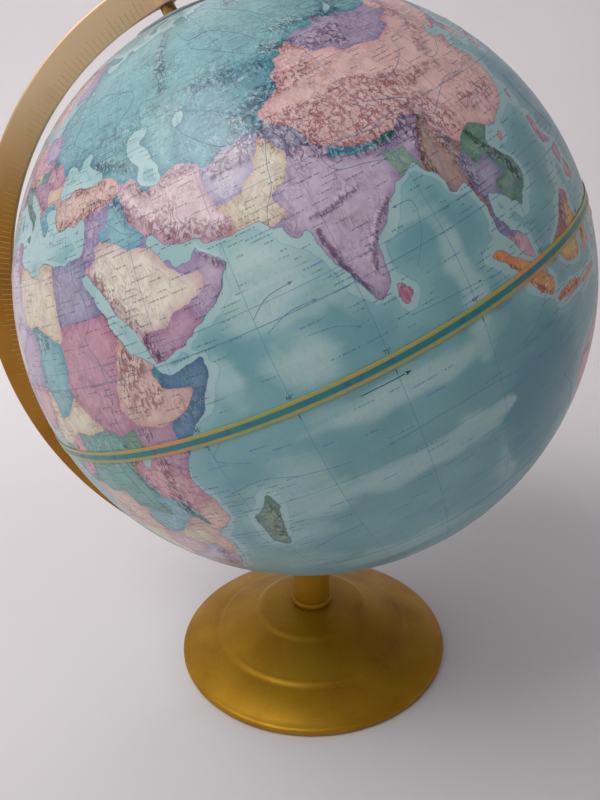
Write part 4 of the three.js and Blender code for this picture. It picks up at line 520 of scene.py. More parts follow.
# Mountain ranges: half width in degrees, height from 0 to 1, and the ridge's line.
RANGES = [
    (1.5, 1.0, "74 35, 78 32, 82 29.8, 86 28.3, 92 28, 96 29"),
    (1.5, 0.9, "73 37, 77 35.8, 82 36, 88 36.3, 94 35.8, 101 34"),
    (3.6, 0.5, "81 33.5, 88 32.5, 96 32"), (1.2, 0.8, "63 34.5, 68 35, 72.5 36.5"),
    (1.2, 0.8, "71 40.5, 76 41.7, 80 42.3, 87 43.3"), (1.4, 0.6, "84 50, 89 48.7, 94 46.5, 99 45"),
    (2.2, 0.25, "66 49, 73 48.5, 80 47.5"), (1.6, 0.5, "72 40, 70 38"),
    (1.5, 0.5, "90 52.5, 97 52.5, 104 51.5, 112 55, 121 57"),
    (1.3, 0.8, "44 37, 47 34, 51 31, 55 28.5, 61 27"), (2.4, 0.22, "48.5 34.5, 53 32.5, 58 33.5"),
    (0.8, 0.7, "48 38, 51.5 36.1, 55 36.8, 59 37"), (0.7, 0.7, "38.5 44, 43 43, 47.5 41.5"),
    (1.0, 0.5, "29 37, 33 37.2, 38 38, 43 39"), (0.7, 0.5, "34 41, 41 40.5"),
    (0.8, 0.6, "36 28, 39.5 23, 42 19, 43.8 15.5, 44.5 13.8"),
    (0.6, 0.6, "56.2 25.5, 57.5 23.3, 59 22.5"), (0.4, 0.7, "73.6 20.5, 74 17, 75 13.5, 77 9.5"),
    (0.45, 0.5, "85 20, 82 18, 79.5 15, 78.5 12"), (0.5, 0.45, "73.5 22.3, 78 22.5, 82 23.3"),
    (0.7, 0.6, "93.8 20, 93.5 23, 95.5 26.5"), (1.5, 0.4, "98 24, 99 20, 98.7 16"),
    (0.7, 0.6, "103.5 22, 104.5 19.5, 107.3 16, 108 13"), (2.0, 0.7, "98 31, 100 28.5, 101.5 25.5"),
    (1.0, 0.5, "104 34, 110 33.7"), (1.9, 0.4, "107 26, 112 26, 117 27.4"),
    (1.2, 0.45, "111 36, 113.5 39, 117 41.5"), (1.2, 0.45, "118 44, 120.5 48, 122 51"),
    (1.5, 0.5, "97 48, 101 47.3"), (0.5, 0.45, "127 41, 128.5 38, 128.8 36.5"),
    (0.5, 0.6, "133 34.9, 138 36, 140.5 39.5"), (0.9, 0.4, "134 44.5, 138 49.5"),
    (1.4, 0.6, "128 69, 130 64, 138 61.5"), (1.8, 0.6, "136 68, 145 66, 150 63, 158 62.5"),
    (1.4, 0.5, "163 63, 170 63.5, 176 66"), (0.8, 0.7, "157 52, 160 56, 162 60"),
    (2.0, 0.4, "92 68.5, 99 69"), (0.8, 0.5, "62 67.5, 59.5 62, 58.5 56, 58.5 52"),
    (1.2, 0.6, "7.5 60, 10 62.5, 14 66, 19 68.7"), (0.8, 0.8, "6.7 44.5, 7.5 46, 11 46.8, 14 46.8"),
    (0.7, 0.6, "18.5 49.2, 22 49, 25.2 47.5, 25.5 45.5, 22.8 45.2"),
    (0.8, 0.5, "15 45, 18.5 43.5, 20.5 41.5, 21.8 39.5"), (0.5, 0.5, "9 44.4, 12 43.3, 14 42, 16 39.5"),
    (0.5, 0.6, "-1.2 43, 2.2 42.5"), (0.9, 0.4, "-6 40.3, -3 40.8, -3.2 37.3"),
    (0.6, 0.4, "-4.8 57.5, -4 56.8"), (1.0, 0.6, "-8.5 31, -5 32.5, 0 34.3, 6 35.5"),
    (1.5, 0.4, "5 23.5, 7 24"), (1.3, 0.4, "16.5 20.5, 19 20"),
    (1.9, 0.7, "38.5 14, 38 11, 37.5 8, 40.5 8.7"),
    (1.3, 0.6, "36 3, 36.5 -1, 35.5 -4, 34 -8, 33.8 -11.5"), (1.0, 0.6, "29.6 1, 29 -3, 30 -7"),
    (0.9, 0.4, "10 5.5, 13 8"), (1.3, 0.4, "15.5 -12, 15 -15"),
    (1.0, 0.6, "30.5 -25, 29 -29.5, 26.5 -31.5"), (0.6, 0.4, "20 -33, 24 -33.5"),
    (0.9, 0.5, "48.3 -15.5, 47 -19.5, 46.3 -23"), (0.5, 0.7, "96.5 4.3, 99 1.5, 101.5 -2, 104 -4.6"),
    (0.4, 0.5, "107 -7.1, 110 -7.4, 113.5 -7.9"), (0.9, 0.5, "116 6, 115 3, 113 1.4"),
    (0.5, 0.5, "120 1, 120 -3"), (0.9, 0.8, "134 -2.5, 137 -4, 141 -5, 145 -6, 148.5 -9.3"),
    (0.5, 0.5, "121 17, 121 14.5"), (0.6, 0.5, "125 8.5, 125.5 7"),
    (0.9, 0.5, "145.5 -17, 147.5 -21, 151 -26, 150.5 -31, 148 -36.5"),
    (0.8, 0.35, "131 -23.5, 135 -23.5"), (0.9, 0.35, "116.5 -22.5, 119.5 -22.8"),
    (0.5, 0.7, "168 -45, 171.5 -43.2"), (0.5, 0.5, "175.8 -39.5, 177.5 -38.5"),
    (1.7, 0.8, "-127 60, -121 55, -116 51, -113 46.5, -109.5 43, -106 39, -105.5 34"),
    (1.0, 0.7, "-133 59, -126 52, -121.5 48, -121.8 44, -120 39, -118.5 36.5"),
    (2.0, 0.4, "-116 41.5, -114 38"), (1.0, 0.8, "-154 61.5, -150 63.3, -144 62, -137 60"),
    (1.2, 0.5, "-160 68, -150 68.2, -142 68.5"), (1.4, 0.5, "-135 65, -128 62.5"),
    (1.0, 0.6, "-108.5 30, -106 25.5, -104 21.5"), (0.8, 0.5, "-100.5 25, -98.5 20.5, -97 17.3"),
    (0.6, 0.5, "-92 15.5, -89 14.3, -85 12"), (0.9, 0.45, "-85 34.5, -81 37.5, -77 41, -72 44"),
    (1.0, 0.5, "-66 66.5, -72 70"),
    (1.3, 1.0, """-75.8 6, -76.5 2, -78.3 -1, -78.5 -5, -76.5 -10, -72.5 -14, -69 -18, -68.5 -23,
        -69.5 -29, -70.3 -34, -71.3 -39, -72 -45, -73.2 -50"""),
    (0.6, 0.6, "-73 7, -71 9, -68 10"), (1.8, 0.6, "-68 -17, -66.5 -21"),
    (1.4, 0.35, "-65 4.5, -61 4.8"), (1.4, 0.4, "-48 -24, -44 -20.5, -42 -14"),
    (1.5, 0.6, "165 -73, 160 -79, 165 -84"), (1.5, 0.5, "-70 -73, -82 -78.5"),
    (1.5, 0.4, "-26 71, -30 68.5"),
]

RIVERS = [
    "32.6 1, 31.5 3.5, 31 7.5, 32.5 10, 32.5 15.6, 31 19, 33 21.5, 32.7 25.5, 31 28.5, 31.2 31.2",
    "32.5 15.6, 35 11.5, 37.3 12", "39.5 38.3, 43 36.3, 44.4 33.3, 47.4 31",
    "39 38.8, 38.3 36, 41 34.5, 44.5 31.8, 47.4 31, 48.4 30.1",
    "81 31.5, 76 34.3, 73.5 35.3, 71.5 32, 70.5 28.8, 68.3 26, 67.6 24.1",
    "79 30.5, 80.3 26.8, 85 25.6, 88.3 24.5, 90.5 22.6",
    "82.5 30.4, 88 29.4, 94.5 29.5, 95 27.6, 90 25.8, 89.8 23.8", "97.5 27, 96 22, 95 18, 95 16",
    "94 31.5, 98.8 27, 98.5 20, 97.6 16.6",
    "95 33, 98.8 28, 100.5 20.5, 104.8 16.5, 105.8 12, 106.5 9.8",
    "91 33.5, 98 31, 100 27, 104.5 29, 109 30.8, 114.3 30.5, 118.5 32, 121.5 31.6",
    "96 34.5, 102 36, 106.5 38.5, 108 40.7, 111 40, 110.3 35, 114 35, 118.5 37.6",
    "108 49.5, 117 50, 121.5 53.3, 127.5 50.2, 131 47.8, 135 48.4, 140.5 53",
    "106 54, 113 59.5, 129 62, 125 66, 127 72.5", "92 51.5, 92.5 56, 91 61, 87 66, 82.5 71.5",
    "84 52.5, 82 56, 76 60.8, 69 61, 66.5 66.3", "85 47.8, 80 50.3, 73.5 55, 69 58.2, 69 61",
    "34 57, 40 57.8, 46 56.2, 49.3 55.5, 50 53, 46 50, 44.5 48.5, 47.8 46",
    "59 54, 58.5 51.2, 52 51.3, 51.8 47.2", "38 54, 39.5 51, 42.5 49.3, 39.5 47.3",
    "32 55.5, 31 52, 30.5 50.4, 35 48.4, 32.5 46.6",
    "8.5 48, 13.5 48.5, 17 48.1, 19 47.5, 19 45.5, 22 44.5, 27 44, 29.5 45.2",
    "9.5 47.5, 7.7 48.5, 8.2 50, 5 52", "76 41.2, 71 40.6, 68 43, 61.6 46",
    "71.5 37.2, 66 37.4, 60.5 42, 59.4 43.9", "27 -11, 26 -5, 25.3 0.5, 22 2, 18 0, 16 -4, 12.5 -6",
    "-10.5 9.5, -5 14, -2.5 16.8, 3 12, 5.5 8, 6.2 4.6",
    "22.5 -12.5, 23.5 -17.5, 28 -17, 33 -15.8, 36 -18.6", "28.5 -30, 24 -29, 16.8 -28.6",
    "-76 -10, -74 -5, -70 -4.2, -60 -3.2, -55 -2.2, -50.5 -0.3",
    "-95 47, -91 43, -90.3 38.7, -89.8 35, -91 31.5, -89.5 29.3",
    "-112 46.5, -106 48, -100.5 46, -96 41.5, -90.3 38.7", "-78.5 41, -84 38.7, -89 37",
    "-106 40, -110 38, -113 36.2, -114.8 32", "-106.5 37.5, -106.5 32, -103 29, -99.5 27, -97.3 26",
    "-115 61, -123 63, -130 67, -134.5 69.2", "-76.3 44.2, -73.5 45.6, -70 47.5",
    "-134 61, -140 65, -150 65.5, -158 63, -164 62.7", "-117 51, -118 47, -120 45.8, -124 46.2",
    "-48 -18, -54 -25, -57.5 -27.4, -60.5 -32.5, -58.5 -34", "-64 2.5, -67.5 5.5, -64 8, -61 8.8",
    "-54 -14, -50 -8, -48.6 -2", "149 -29, 142 -34, 139.4 -35.6",
    "-110 54, -102 53.5, -97.5 53, -93 57", "101 18, 100.4 14",
]

# Soft patches of sea: longitude, latitude, half width and half height in degrees, and how pale it is, which
# is below 0 where it is deeper than the sea around it. Most are printed shading of the sea; the palest, on
# the
# Arabian Sea, the Mediterranean and the Black Sea, are partly painted glare of the window.
SEA_PATCHES_AND_GLARE = [
    (64, 5.5, 5, 4.5, 1), (64, 18, 9, 7, 1.15), (69, 12, 3.5, 3, 0.6), (53, 6.5, 3, 4, 0.8),
    (100, -22, 12, 17, -1), (128, 22, 9, 12, -0.7), (18, 36, 15, 3.5, 1.3), (34, 43.3, 5, 2, 1.4),
    (38, 20, 2.5, 7, 1.1), (88, 17, 4, 3, 0.5), (89.5, 4, 2.4, 12, 0.9), (76, -4.2, 16, 2.6, 1),
    (79, -17.5, 23, 2.8, 0.9), (56, -15, 6, 8, 0.8), (72.5, 12, 2, 5, 0.6), (49, -19, 9, 9, 0.6),
    (46, -34, 9, 4, 0.5), (90, -30, 4, 9, 0.5), (-28, 40, 6, 12, 0.9), (-36, 8, 12, 5, 0.8),
    (-14, -18, 4, 22, 0.9), (-32, -33, 8, 4, 0.7), (-110, -8, 6, 24, 0.9), (-150, -18, 16, 8, 0.8),
    (-160, 20, 14, 4, 0.8), (165, -12, 12, 8, 0.7), (170, 34, 8, 10, 0.7), (148, 12, 5, 10, 0.8),
    (-128, 28, 10, 9, 0.5), (-50, 47, 5, 6, 0.8), (10, -34, 8, 5, 0.6), (-85, -38, 10, 4, 0.7),
    (162, -32, 5, 9, 0.8), (0, 70, 12, 6, 0.7), (-60, 14, 4, 6, 0.6), (-90, -60, 24, 3, 0.6),
    (60, -52, 14, 4, 0.6), (63, -40, 22, 4, 0.7),
]

CURRENTS = [
    "60 13.5, 63 15.5, 67 16", "61 11, 65 12.5, 69 12.5", "66 8.5, 70 8, 73 6.5",
    "84 10, 87 14, 88 18, 85 18.5", "80 4.5, 86 4, 92 3.5", "50 -6, 45 -4, 47 -1.5, 52 1",
    "98 -14, 90 -12, 80 -11.5, 70 -12", "64 -12, 56 -11, 50 -9.5, 44 -10.5", "60 -26, 54 -27, 49 -29",
    "40 -36, 60 -38, 80 -38, 100 -37", "112 -32, 110 -26, 106 -21", "36 -22, 34 -27, 30 -32",
    "104 -4, 100 -7.5, 96 -9", "-20 8, -30 10, -42 12, -52 14",
    "-78 28, -74 34, -64 39, -50 43, -38 47", "-14 36, -17 28, -18 20", "-6 -4, -18 -6, -30 -7",
    "-36 -14, -40 -24, -46 -32", "-40 -42, -20 -42, 0 -42", "10 -30, 8 -20, 4 -12",
    "-84 3, -100 4, -120 3", "-100 -6, -120 -8, -140 -9", "-80 -32, -78 -22, -82 -12",
    "140 30, 146 35, 156 38, 170 40", "-130 46, -126 38, -121 30", "-150 14, -170 13, 170 12",
    "156 -26, 158 -34, 164 -40", "-160 -46, -130 -48, -100 -50", "130 14, 126 20, 126 26",
    "160 52, 152 46, 146 42", "-10 56, -2 62, 6 67, 14 71",
]

# Each tint is a middle colour and a stronger one along the borders, as red, green and blue up to 255.
TINTS = {
    "aqua": ((150, 200, 206), (112, 176, 196)), "cream": ((238, 230, 214), (216, 178, 180)),
    "deep_teal_and_shade": ((112, 172, 186), (72, 148, 168)),
    "ice": ((222, 226, 226), (176, 200, 214)), "jade": ((122, 182, 174), (84, 150, 146)),
    "leaf": ((136, 172, 150), (94, 142, 126)), "lilac": ((190, 174, 202), (160, 142, 184)),
    "magenta": ((206, 158, 176), (188, 122, 152)), "mauve": ((194, 160, 182), (170, 128, 160)),
    "navy": ((130, 134, 168), (84, 90, 136)), "olive": ((178, 178, 118), (146, 146, 84)),
    "pale_lilac": ((212, 204, 220), (170, 168, 204)), "pale_pink": ((232, 206, 206), (218, 168, 182)),
    "peach": ((230, 202, 190), (210, 164, 160)), "pink": ((218, 176, 186), (198, 138, 160)),
    "plum": ((206, 188, 210), (168, 148, 186)), "red": ((200, 148, 150), (178, 112, 122)),
    "rose": ((230, 206, 212), (204, 156, 174)), "sage": ((166, 192, 170), (134, 168, 150)),
    "salmon": ((242, 204, 198), (222, 166, 166)), "steel": ((104, 150, 174), (68, 112, 150)),
    "straw": ((232, 224, 202), (214, 186, 158)), "tan": ((190, 162, 152), (162, 128, 126)),
    "teal": ((134, 190, 196), (66, 150, 170)), "violet": ((176, 172, 196), (138, 134, 174)),
    "wine": ((178, 152, 168), (146, 112, 142)), "yellow": ((238, 198, 112), (224, 140, 84)),
}


def linear(channel):
    """A colour channel from 0 to 255 as the light that it stands for."""
    part = channel / 255
    return part / 12.92 if part <= 0.04045 else ((part + 0.055) / 1.055) ** 2.4


def colour_of(red, green, blue):
    """The light of a colour that is given from 0 to 255."""
    return (linear(red), linear(green), linear(blue), 1)


# ---- Grids over the whole globe, from which the map's print is taken ----

CELL = 0.25  # degrees
COAST_WANDER = 0.22  # degrees that a coast strays from its outline, and at most half as much again
EDGE_BAND = 0.9  # degrees over which a tint turns to its stronger colour along a border
INK_SPREAD = 0.5  # degrees that a colour reaches past its border, under its neighbour's
BORDER_BLUR = 0.28  # degrees
CREST_HALF_WIDTH = 0.33  # degrees
SEA_REACH = 8  # degrees from land, past which the sea is all the same
RELIEF_HEIGHT = 0.8
ROWS = round(180 / CELL)
COLUMNS = round(360 / CELL)
latitudes = -90 + (np.arange(ROWS) + 0.5) * CELL
longitudes = -180 + (np.arange(COLUMNS) + 0.5) * CELL
LONGITUDE, LATITUDE = np.meshgrid(longitudes, latitudes)
shrink = np.cos(np.radians(latitudes))[:, None]  # a degree of longitude against a degree of latitude
random = np.random.default_rng(7)


def degrees_of(text):
    """The (longitude, latitude) pairs written in a text."""
    return np.array([[float(number) for number in pair.split()] for pair in text.split(",")])


def fill(grid, outline, value):
    """Sets the cells inside an outline, row by row. The outline may run on past the date line."""
    x, y = outline.T
    next_x, next_y = np.roll(x, -1), np.roll(y, -1)
    first = max(int((y.min() + 90) / CELL) - 1, 0)
    last = min(int((y.max() + 90) / CELL) + 1, ROWS)
    for row in range(first, last):
        latitude = latitudes[row]
        crossed = (y <= latitude) != (next_y <= latitude)
        slope = (next_x - x)[crossed] / (next_y - y)[crossed]
        crossings = np.sort(x[crossed] + (latitude - y[crossed]) * slope)
        columns = np.ceil((crossings + 180) / CELL - 0.5).astype(int)
        for west, east in zip(columns[::2], columns[1::2]):
            grid[row, np.arange(west, east) % COLUMNS] = value


def sampled(grid, longitude, latitude):
    """Values of a grid at any places, in between its cells."""
    rows, columns = grid.shape[:2]
    x = (longitude + 180) / 360 * columns - 0.5
    y = np.clip((latitude + 90) / 180 * rows - 0.5, 0, rows - 1.001)
    west, south = np.floor(x).astype(int), np.floor(y).astype(int)
    extra = (...,) + (None,) * (grid.ndim - 2)
    right, up = (x - west)[extra], (y - south)[extra]
    west, east = west % columns, (west + 1) % columns
    lower = grid[south, west] * (1 - right) + grid[south, east] * right
    upper = grid[south + 1, west] * (1 - right) + grid[south + 1, east] * right
    return lower * (1 - up) + upper * up


def rough(step):
    """Random values from -1 to 1 that change smoothly from one to the next over a number of degrees."""
    coarse = random.uniform(-1, 1, (round(180 / step), round(360 / step)))
    return sampled(coarse, LONGITUDE, LATITUDE)


def blurred(grid, width):
    """A Gaussian blur that is equally wide, in degrees of a great circle, at every latitude."""
    waves = np.arange(COLUMNS // 2 + 1)
    spread = math.radians(width) / shrink
    kept = np.exp(-0.5 * (waves * spread) ** 2)
    along = np.fft.irfft(np.fft.rfft(grid, axis=1) * kept, COLUMNS, axis=1)
    reach = math.ceil(3 * width / CELL)
    padded = np.pad(along, ((reach, reach), (0, 0)), mode="edge")
    weights = np.exp(-0.5 * (np.arange(-reach, reach + 1) * CELL / width) ** 2)
    return sum(w * padded[i : i + ROWS] for i, w in enumerate(weights / weights.sum()))


def smooth_step(value, low, high):
    """0 below the low value, 1 above the high one, and an even S between them."""
    part = np.clip((value - low) / (high - low), 0, 1)
    return part * part * (3 - 2 * part)


def land_grid():
    """1 on land and 0 on water, with a coast that wanders a little from the drawn outlines."""
    land = np.zeros((ROWS, COLUMNS))
    for outline in LAND.values():
        fill(land, degrees_of(outline), 1)
    for outline in WATER.values():
        fill(land, degrees_of(outline), 0)
    east = np.rint((rough(1) + 0.5 * rough(0.5)) * COAST_WANDER / CELL / shrink.clip(0.1)).astype(int)
    north = np.rint((rough(1) + 0.5 * rough(0.5)) * COAST_WANDER / CELL).astype(int)
    row, column = np.indices(land.shape)
    return land[(row + north).clip(0, ROWS - 1), (column + east) % COLUMNS]


def region_grid():
    """The number of the region in each cell: 0 where none is drawn."""
    grid = np.zeros((ROWS, COLUMNS), int)
    for number, (_, _, outline) in enumerate(REGIONS, 1):
        fill(grid, degrees_of(outline), number)
    return grid


def print_runs(grid):
    """Shares the regions out over a few print runs, so that neighbours never share one."""
    neighbours = {number: set() for number in range(len(REGIONS) + 1)}
    for rows, columns in ((0, 1), (1, 0), (1, 1), (0, 3), (3, 0)):
        other = np.roll(grid, (rows, columns), (0, 1))
        for a, b in np.unique(np.stack([grid, other])[:, grid != other], axis=1).T:
            neighbours[a].add(b)
            neighbours[b].add(a)
    runs = {}
    for number in sorted(neighbours, key=lambda n: -len(neighbours[n])):
        taken = {runs[other] for other in neighbours[number] if other in runs}
        runs[number] = min(run for run in range(len(taken) + 1) if run not in taken)
    return np.array([runs[number] for number in range(len(REGIONS) + 1)])


def inked_runs(land):
    """For each print run, its colour in each cell and, fourth, how much of that place is its own."""
    grid = region_grid()
    run_of = print_runs(grid)
    tints = [TINTS[tint] for tint in ["sage"] + [tint for _, tint, _ in REGIONS]]
    middle, edge = (np.array([[linear(c) for c in colour] for colour in pair]) for pair in zip(*tints))
    runs = []
    for run in range(run_of.max() + 1):
        mine = (run_of[grid] == run).astype(float)
        inland = blurred(mine * land, EDGE_BAND)
        band = (1 - smooth_step(inland, 0.5, 0.93))[..., None]
        colour = middle[grid] * (1 - band) + edge[grid] * band
        share = blurred(mine, INK_SPREAD) + 1e-9
        spread = [blurred(mine * colour[..., channel], INK_SPREAD) / share for channel in range(3)]
        runs.append(np.stack([*spread, blurred(mine, BORDER_BLUR)], axis=-1))
    return runs


def distance_off_land(land):
    """Degrees from each cell to the nearest land, up to SEA_REACH."""
    down = np.full(land.shape, np.inf)
    for order in (range(ROWS), range(ROWS - 1, -1, -1)):
        run = np.full(COLUMNS, np.inf)
        for row in order:
            run = np.where(land[row] > 0.5, 0, run + CELL)
            down[row] = np.minimum(down[row], run)
    nearest = down.copy()
    for shift in range(1, 4 * round(SEA_REACH / CELL)):
        aside = shift * CELL * shrink
        for way in (shift, -shift):
            nearest = np.minimum(nearest, np.hypot(np.roll(down, way, 1), aside))
    return nearest.clip(0, SEA_REACH)


def mountain_grids():
    """Height of the relief, and the dark strokes along its crests, both from 0 to 1."""
    height, crest = np.zeros((ROWS, COLUMNS)), np.zeros((ROWS, COLUMNS))
    sway_east, sway_north = 0.7 * rough(2), 0.7 * rough(2)
    for half_width, peak, stops in RANGES:
        ridge = degrees_of(stops)
        for (x0, y0), (x1, y1) in zip(ridge[:-1], ridge[1:]):
            narrow = math.cos(math.radians((y0 + y1) / 2))
            reach = 2.5 * half_width + 1
            rows = np.flatnonzero(np.abs(latitudes - (y0 + y1) / 2) < abs(y1 - y0) / 2 + reach)
            wide = abs(x1 - x0) / 2 + reach / narrow
            columns = np.flatnonzero(np.abs(longitudes - (x0 + x1) / 2) < wide)
            window = np.ix_(rows, columns)
            sway = min(1, half_width)
            dx = (LONGITUDE[window] + sway * sway_east[window] - x0) * narrow
            dy = LATITUDE[window] + sway * sway_north[window] - y0
            run_x, run_y = (x1 - x0) * narrow, y1 - y0
            along = np.clip((dx * run_x + dy * run_y) / (run_x**2 + run_y**2), 0, 1)
            off = np.hypot(dx - along * run_x, dy - along * run_y)
            height[window] = np.maximum(height[window], peak * np.exp(-((off / half_width) ** 2)))
            stroke = min(1, 0.5 / half_width) * peak * np.exp(-((off / CREST_HALF_WIDTH) ** 2))
            crest[window] = np.maximum(crest[window], stroke)
    return height, crest


def sea_patch_and_glare_grid():
    """How pale the sea is printed: about 1 in a pale patch, 1.4 in the palest and below 0 in a deep one.
    The palest are partly painted glare.
    """
    pale = np.zeros((ROWS, COLUMNS))
    sway_east, sway_north = 1.2 * rough(5) + 0.5 * rough(2), 1.2 * rough(5) + 0.5 * rough(2)
    for longitude, latitude, half_width, half_height, strength in SEA_PATCHES_AND_GLARE:
        east = (LONGITUDE - longitude + 180) % 360 - 180
        off = np.hypot((east + sway_east) / half_width, (LATITUDE - latitude + sway_north) / half_height)
        patch = strength * (1 - smooth_step(off, 0.4, 1.45))
        pale = np.where(np.abs(patch) > np.abs(pale), patch, pale)
    return pale


land = land_grid()
runs = inked_runs(land)
off_land = distance_off_land(land)
inland = blurred(land, 0.3)
mountains, crests = (grid * inland for grid in mountain_grids())
pale_or_crest = np.where(land > 0.5, crests, sea_patch_and_glare_grid())

# What the ball's mesh carries for the print: how much is land, tens of degrees off the coast, the height,
# and last the crests on land and the pale patches at sea.
lay = np.stack([blurred(land, 0.26), blurred(off_land, 0.3) / 10, mountains, pale_or_crest], axis=-1)
relief = mountains * (0.55 + 0.3 * rough(1.2) + 0.25 * rough(2.5)) + 0.06 * blurred(land, 0.4)


def relief_height(longitude, latitude):
    """Millimetres that the ball's surface stands proud, none by the equator's tape and at the poles."""
    clear = smooth_step(np.abs(latitude), 1.3, 2.4) * smooth_step(np.abs(latitude), 86, 84)
    return RELIEF_HEIGHT * clear * np.clip(sampled(relief, longitude, latitude), 0, 1)


# ---- Shapes: an array of points in millimetres and the faces between them ----

def circle(radius, height, count, flats=0):
    """A level ring of points. With flats it is kept inside a hexagon of that width, as a nut is."""
    angle = np.arange(count) * 2 * math.pi / count
    if flats:
        radius = np.minimum(radius, flats / 2 / np.cos(angle % (math.pi / 3) - math.pi / 6))
    return np.stack([radius * np.cos(angle), radius * np.sin(angle), np.full(count, height)], axis=1)


def zipped(rings, closed=True):
    """The shape made by joining neighbouring rings of points, which may differ in their counts."""
    starts = np.cumsum([0] + [len(ring) for ring in rings]).tolist()
    faces = []
    for index in range(len(rings) if closed else len(rings) - 1):
        other = (index + 1) % len(rings)
        a, b, n, m = starts[index], starts[other], len(rings[index]), len(rings[other])
        i, j = (n if n == 1 else 0), (m if m == 1 else 0)
        while i < n or j < m:
            if j >= m or (i < n and (i + 1) * m <= (j + 1) * n):
                faces.append((a + i % n, a + (i + 1) % n, b + j % m))
                i += 1
            else:
                faces.append((a + i % n, b + (j + 1) % m, b + j % m))
                j += 1
    return np.concatenate(rings), faces


def rounded(corners, radius, steps=4):
    """A closed profile of (radius, height) corners with the corners off the axis rounded."""
    profile = []
    for index, corner in enumerate(corners):
        here = Vector(corner)
        if here.x == 0:
            profile.append(tuple(here))
            continue
        ends = []
        for neighbour in (corners[index - 1], corners[(index + 1) % len(corners)]):
            way = Vector(neighbour) - here
            ends.append(here + way.normalized() * min(radius, 0.45 * way.length))
        profile += curve(ends[0], here, ends[1], steps)
    return profile


def curve(start, control, end, steps):
    """Points along a quadratic curve."""
    parts = [step / steps for step in range(steps + 1)]
    a, b, c = Vector(start), Vector(control), Vector(end)
    return [tuple(a * (1 - t) ** 2 + b * (2 * t * (1 - t)) + c * t**2) for t in parts]


def arc(radius, first, last, steps):
    """Points along a circular arc about the origin, between two angles in degrees."""
    turns = [math.radians(first + (last - first) * step / steps) for step in range(steps + 1)]
    return [(radius * math.cos(turn), radius * math.sin(turn)) for turn in turns]


def lathe(profile, count=96, flats=0, closed=True):
    """What a profile of (radius, height) points sweeps about Z: a solid, or a sheet if it isn't closed."""
    rings = [circle(r, z, count, flats) if r > 0 else np.array([[0, 0, z]]) for r, z in profile]
    return zipped(rings, closed)


def tube(rings):
    """A solid bar through a row of outlines, closed at both ends."""
    ends = [np.mean(ring, axis=0, keepdims=True) for ring in (rings[0], rings[-1])]
    return zipped([ends[0], *rings, ends[1]], closed=False)


def moved(shape, matrix):
    """The shape after a turn and a move in millimetres."""
    turn = np.array(matrix)
    return shape[0] @ turn[:3, :3].T + turn[:3, 3], shape[1]


def joined(shapes):
    """Several shapes as one."""
    points, faces, start = [], [], 0
    for more_points, more_faces in shapes:
        points.append(more_points)
        faces += [tuple(start + corner for corner in face) for face in more_faces]
        start += len(more_points)
    return np.concatenate(points), faces


def facing_out(shape):
    """The same closed shape with its faces turned outwards."""
    points, faces = shape
    corners = points[np.array([face[:3] for face in faces])]
    volume = np.einsum("ij,ij->", corners[:, 0], np.cross(corners[:, 1], corners[:, 2]))
    return (points, faces) if volume > 0 else (points, [face[::-1] for face in faces])


def make(name, shape, place=UPRIGHT, crease=35):
    """An object from a shape that is drawn about its own origin and then put in its place."""
    points, faces = shape
    mesh = bpy.data.meshes.new(name)
    mesh.from_pydata((points * MM).tolist(), [], faces)
    mesh.transform(place)
    mesh.shade_smooth()
    mesh.set_sharp_from_angle(angle=math.radians(crease))
    piece = bpy.data.objects.new(name, mesh)
    bpy.context.scene.collection.objects.link(piece)
    return piece


def add_piece(name, shape, place, body, slot, *nodes, crease=35, material=None):
    """A piece that moves with a body, takes its slot's finish or a given one, and stands for CAD nodes."""
    piece = make(name, facing_out(shape), place, crease)
    piece.data.materials.append(material or FINISHES[slot])
    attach(piece, body)
    if nodes:
        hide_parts(*nodes)
    return piece


# ---- Materials ----

